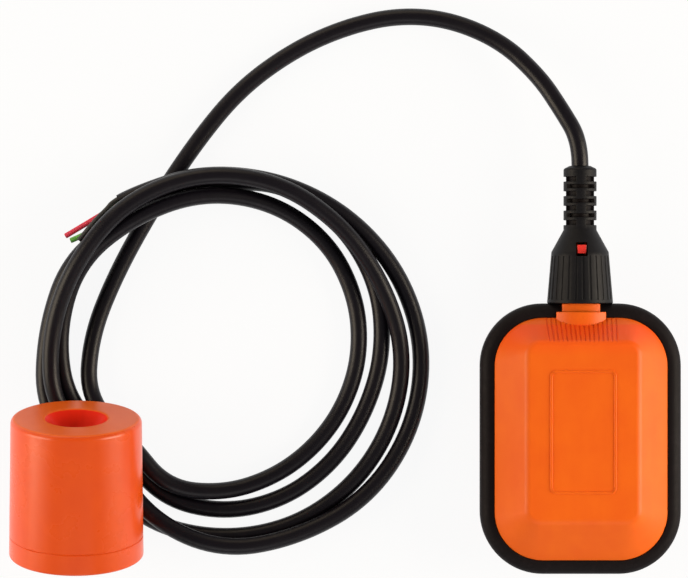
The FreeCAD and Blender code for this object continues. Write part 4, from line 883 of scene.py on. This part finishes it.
def in_flute(middle, face):
    """Every flute's share of the bell's round."""
    pitch = 360 / FLUTES
    turn = math.degrees(math.atan2(middle.y, middle.x)) % pitch
    return FLUTE_FOOT < middle.z < FLUTE_TOP and middle.xy.length > 11 and turn < FLUTE_SHARE * pitch


def in_side_slot(middle, face):
    """The slots left and right, up to the bridge on the boot's face."""
    return (in_slot(middle.z, SIDE_SLOTS, SIDE_HALF) and steepness(middle) < SIDE_END
            and middle.xy.length > 6)


def in_side_step(middle, face):
    """The floor of the side slots' first step, apart from a web at the parting plane."""
    return (in_slot(middle.z, SIDE_SLOTS, SIDE_HALF) and PARTING_WEB < steepness(middle) < SIDE_END
            and abs(middle.xy.length - SLOT_STEP) < 0.1 and abs(face.normal.z) < 0.5)


def in_face_slot(middle, face):
    """The slots on the boot's face and back."""
    return (in_slot(middle.z, FACE_SLOTS, FACE_HALF) and steepness(middle) > FACE_END
            and middle.xy.length > 6)


def boot():
    """Bell, cone and slotted bend relief, turned in one piece and then cut."""
    slots = [(slot, SIDE_HALF) for slot in SIDE_SLOTS] + [(slot, FACE_HALF) for slot in FACE_SLOTS]
    relief = [(RELIEF, slot + side * half) for slot, half in sorted(slots) for side in (-1, 1)]
    piece = lathed("boot_moulded", BELL + relief + BOOT_TIP + BOOT_BORE, BOOT_STEPS)
    enter(piece)
    push_in(FLUTE_DEPTH, in_flute)
    push_in(SLOT_STEP / RELIEF, in_side_slot)
    push_in(SLOT_FLOOR / SLOT_STEP, in_side_step)
    push_in(SLOT_FLOOR / RELIEF, in_face_slot)
    tidy_surface()
    pick("EDGE", ring_at(RELIEF_END, least=6))
    bevel(0.6, 4)
    pick("EDGE", ring_at(BOOT_START, least=13))
    bevel(0.5, 4)
    leave()
    edges_eased(piece, 0.16, 2, angle=35)
    put(piece, LAID_ALONG)
    window = box("latch_window", *WINDOW_SIZE, WINDOW_MIDDLE)
    edges_eased(window, 0.35, 3)
    cut_from(piece, window)
    dress(piece, "boot_black")
    # Painted shade: the faces inside the slots take the duller rim rubber, so that the slot floors read
    # darker.
    piece.data.materials.append(FINISHES["band_black"])
    for face in piece.data.polygons:
        middle = face.center / MM
        inside = math.hypot(middle.x, middle.z - SEAM) < RELIEF - 0.3
        if inside and SLOTTED[0] < middle.y < SLOTTED[1]:
            face.material_index = 1
    return piece


def latch_tab():
    """A square button with a slightly dished face."""
    tab = box("latch_tab_moulded", *BUTTON_SIZE, BUTTON_MIDDLE)
    enter(tab)
    pick("FACE", lambda middle, face: face.normal.z > 0.9)
    bpy.ops.mesh.inset(thickness=0.6 * MM)
    bpy.ops.transform.translate(value=(0, 0, -BUTTON_DISH * MM))
    leave()
    edges_eased(tab, 0.3, 4)
    return tab


LEAF_ROWS = 18
LEAF_PLACE = (0, LATCH_ALONG, 25.52)
LEAF_SIZE = (2.7, 5.3)
LEAF_BOW = 1.43
LEAF_GAUGE = 0.3


def latch_spring():
    """The bowed leaf under the button, shown at rest; pressing the button would flatten it."""
    middle = metres(LEAF_PLACE)
    leaf = new_piece("latch_leaf_spring", bpy.ops.mesh.primitive_grid_add, x_subdivisions=1,
                     y_subdivisions=LEAF_ROWS, size=MM, location=middle)
    bpy.ops.transform.resize(value=(*LEAF_SIZE, 1), center_override=middle)
    half = LEAF_SIZE[1] / 2
    radius = (half ** 2 + LEAF_BOW ** 2) / (2 * LEAF_BOW)
    for row in range(LEAF_ROWS + 1):
        aside = half * (2 * row / LEAF_ROWS - 1)
        rise = math.sqrt(radius ** 2 - aside ** 2) - radius + LEAF_BOW
        pick("VERT", lambda corner, item: abs(corner.y - LEAF_PLACE[1] - aside) < 0.05)
        bpy.ops.transform.translate(value=(0, 0, rise * MM))
    bpy.ops.mesh.select_mode(type="FACE")
    bpy.ops.mesh.select_all(action="SELECT")
    raise_by(LEAF_GAUGE)
    tidy_surface()
    leave()
    edges_eased(leaf, 0.05, 2, angle=50)
    return leaf


ready(boot(), "strain_relief_boot", "float", "boot_black")
ready(latch_tab(), "lock_tab", "tab", "tab_red")
spring = latch_spring()
ready(spring, "tab_spring", "float", "spring_steel")
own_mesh(spring)


# The counterweight, turned upright and then laid on the coil, mouth up

WEIGHT_STEPS = 144
WEIGHT_FOOT = (-205.4, -46.9)
WEIGHT_RADIUS = 27.3
WEIGHT_TILT = 14.4
WEIGHT_TURN = -1.1
WEIGHT_HEIGHT = WEIGHT_RADIUS * math.cos(math.radians(WEIGHT_TILT))
WEIGHT_LAY = (Matrix.Translation(metres((*WEIGHT_FOOT, WEIGHT_HEIGHT))) @ turned(WEIGHT_TURN, "Z")
              @ turned(WEIGHT_TILT - 90, "X"))
MOUTH = 58
MOUTH_ROUND = 2.1
THROAT = 12.8
TUBE_TOP = 46
WEIGHT_BORE = 6.2
CUP = [
    (26.85, 8.7), (27.15, 9.05), (27.0, 20), (26.75, 35), (26.4, MOUTH), (THROAT, MOUTH), (11.2, 55.6),
    (WEIGHT_BORE, 48.5), (WEIGHT_BORE, 6.6), (8.0, 6.6), (8.0, TUBE_TOP), (15.3, 55.5), (23.9, 55.5),
    (24.7, 8.7),
]
CAP = [
    (WEIGHT_BORE, 0), (WEIGHT_RADIUS, 0), (27.15, 8.35), (26.85, 8.7), (24.6, 8.7), (24.6, 11), (22.1, 11),
    (22.1, 2.5), (10.5, 2.5), (10.5, 9.6), (8.05, 9.6), (8.05, 6.6), (WEIGHT_BORE, 6.6),
]


def weight_cup():
    """The cup: outside, rounded mouth, funnel and the tube for the cable."""
    cup = lathed("weight_cup_moulded", CUP, WEIGHT_STEPS)
    enter(cup)
    pick("EDGE", ring_at(MOUTH, least=20))
    bevel(MOUTH_ROUND, 8)
    pick("EDGE", ring_at(MOUTH, least=10, most=20))
    bevel(0.6, 5)
    leave()
    dress(cup, "weight_orange")
    cup.data.materials.append(FINISHES["weight_throat"])
    cup.data.materials.append(FINISHES["float_orange"])
    for face in cup.data.polygons:
        middle = face.center / MM
        # Painted shade: the funnel and tube faces take the deeper red throat finish.
        if middle.xy.length < THROAT - 0.2 and middle.z > TUBE_TOP:
            face.material_index = 1
        # Painted light: the flat mouth face takes the paler float orange, lighter than the rest of the
        # weight; its lower gloss is a real finish.
        elif middle.z > MOUTH - 0.3:
            face.material_index = 2
    put(cup, WEIGHT_LAY)
    return cup


def weight_cap():
    """The base cap with its spigot and a fine groove where it meets the cup."""
    cap = lathed("weight_cap_moulded", CAP, WEIGHT_STEPS)
    enter(cap)
    pick("EDGE", ring_at(0, least=26))
    bevel(0.9, 4)
    pick("EDGE", ring_at(0, most=7))
    bevel(0.5, 3)
    leave()
    put(cap, WEIGHT_LAY)
    return cap


ready(weight_cup(), "counterweight_shell", "counterweight", "weight_orange")
ready(weight_cap(), "counterweight_base_cap", "counterweight", "weight_orange")


# The studio, in metres: white paper, plain white air, and four softboxes round the object

WHITE = (1, 1, 1)
FLOOR_SIZE = 6
FLOOR_HEIGHT = -0.0002
FLOOR_GLOW = 0.92
AIR_LIGHT = 0.18
LIT_SPOT = (-0.09, 0.06, 0.02)
SOFTBOXES = [
    ("left_softbox", (-1.15, 0.0, 0.5), (0.7, 0.8), 12, (1, 0.86, 0.66)),
    ("right_softbox", (1.0, 0.0, 0.48), (0.7, 0.8), 17.5, (1, 0.88, 0.7)),
    ("low_softbox", (-0.1, -1.3, 1.0), (1.6, 0.9), 6.6, (1, 0.97, 0.93)),
    ("far_softbox", (-0.5, 1.3, 0.45), (1.4, 0.7), 5.6, (1, 0.82, 0.58)),
]


def studio_floor():
    """Paper that keeps the object's shadow, and glows where it is seen or mirrored."""
    bpy.ops.object.select_all(action="DESELECT")
    bpy.ops.mesh.primitive_grid_add(x_subdivisions=2, y_subdivisions=2, size=FLOOR_SIZE,
                                    location=(0, 0, FLOOR_HEIGHT))
    floor = bpy.context.object
    floor.name = "studio_floor"
    bpy.ops.object.transform_apply(location=True, rotation=True, scale=True)
    finish = Finish("paper_white")
    fibre = finish.noise(1.5)
    finish.set(colour=finish.blend(fibre, (0.8, 0.8, 0.8), (0.78, 0.78, 0.78)), rough=0.9)
    camera_ray, glossy_ray, through_ray = (
        finish.node("ShaderNodeLightPath", out=ray)
        for ray in ("Is Camera Ray", "Is Glossy Ray", "Is Transmission Ray"))
    seen = (camera_ray + glossy_ray + through_ray).at_most(1.0)
    paper = Signal(finish.tree, finish.shader.outputs[0])
    glow = finish.node("ShaderNodeEmission", {}, {"Color": WHITE, "Strength": 1.0})
    mixed = finish.node("ShaderNodeMixShader", {}, {0: seen * FLOOR_GLOW, 1: paper, 2: glow})
    feed(finish.tree, finish.tree.nodes["Material Output"].inputs["Surface"], mixed)
    floor.data.materials.append(finish.material)


def studio_air():
    """A dim light from all round that the camera sees as white."""
    world = bpy.data.worlds.new("studio_air")
    world.use_nodes = True
    bpy.context.scene.world = world
    air = Nodes(world.node_tree)
    own = world.node_tree.nodes["Background"]
    feed(air.tree, own.inputs["Color"], WHITE)
    feed(air.tree, own.inputs["Strength"], AIR_LIGHT)
    camera_ray = air.node("ShaderNodeLightPath", out="Is Camera Ray")
    seen = air.node("ShaderNodeBackground", {}, {"Color": WHITE, "Strength": 1.0})
    dim = Signal(air.tree, own.outputs[0])
    mixed = air.node("ShaderNodeMixShader", {}, {0: camera_ray, 1: dim, 2: seen})
    feed(air.tree, world.node_tree.nodes["World Output"].inputs["Surface"], mixed)


def softbox(name, place, size, power, colour):
    lamp = bpy.data.lights.new(name, "AREA")
    lamp.color = colour
    lamp.shape = "RECTANGLE"
    lamp.size, lamp.size_y = size
    lamp.energy = power
    light = bpy.data.objects.new(name, lamp)
    light.location = place
    aim = Vector(LIT_SPOT) - Vector(place)
    light.rotation_euler = aim.to_track_quat("-Z", "Y").to_euler()
    bpy.context.scene.collection.objects.link(light)


studio_floor()
studio_air()
for row in SOFTBOXES:
    softbox(*row)
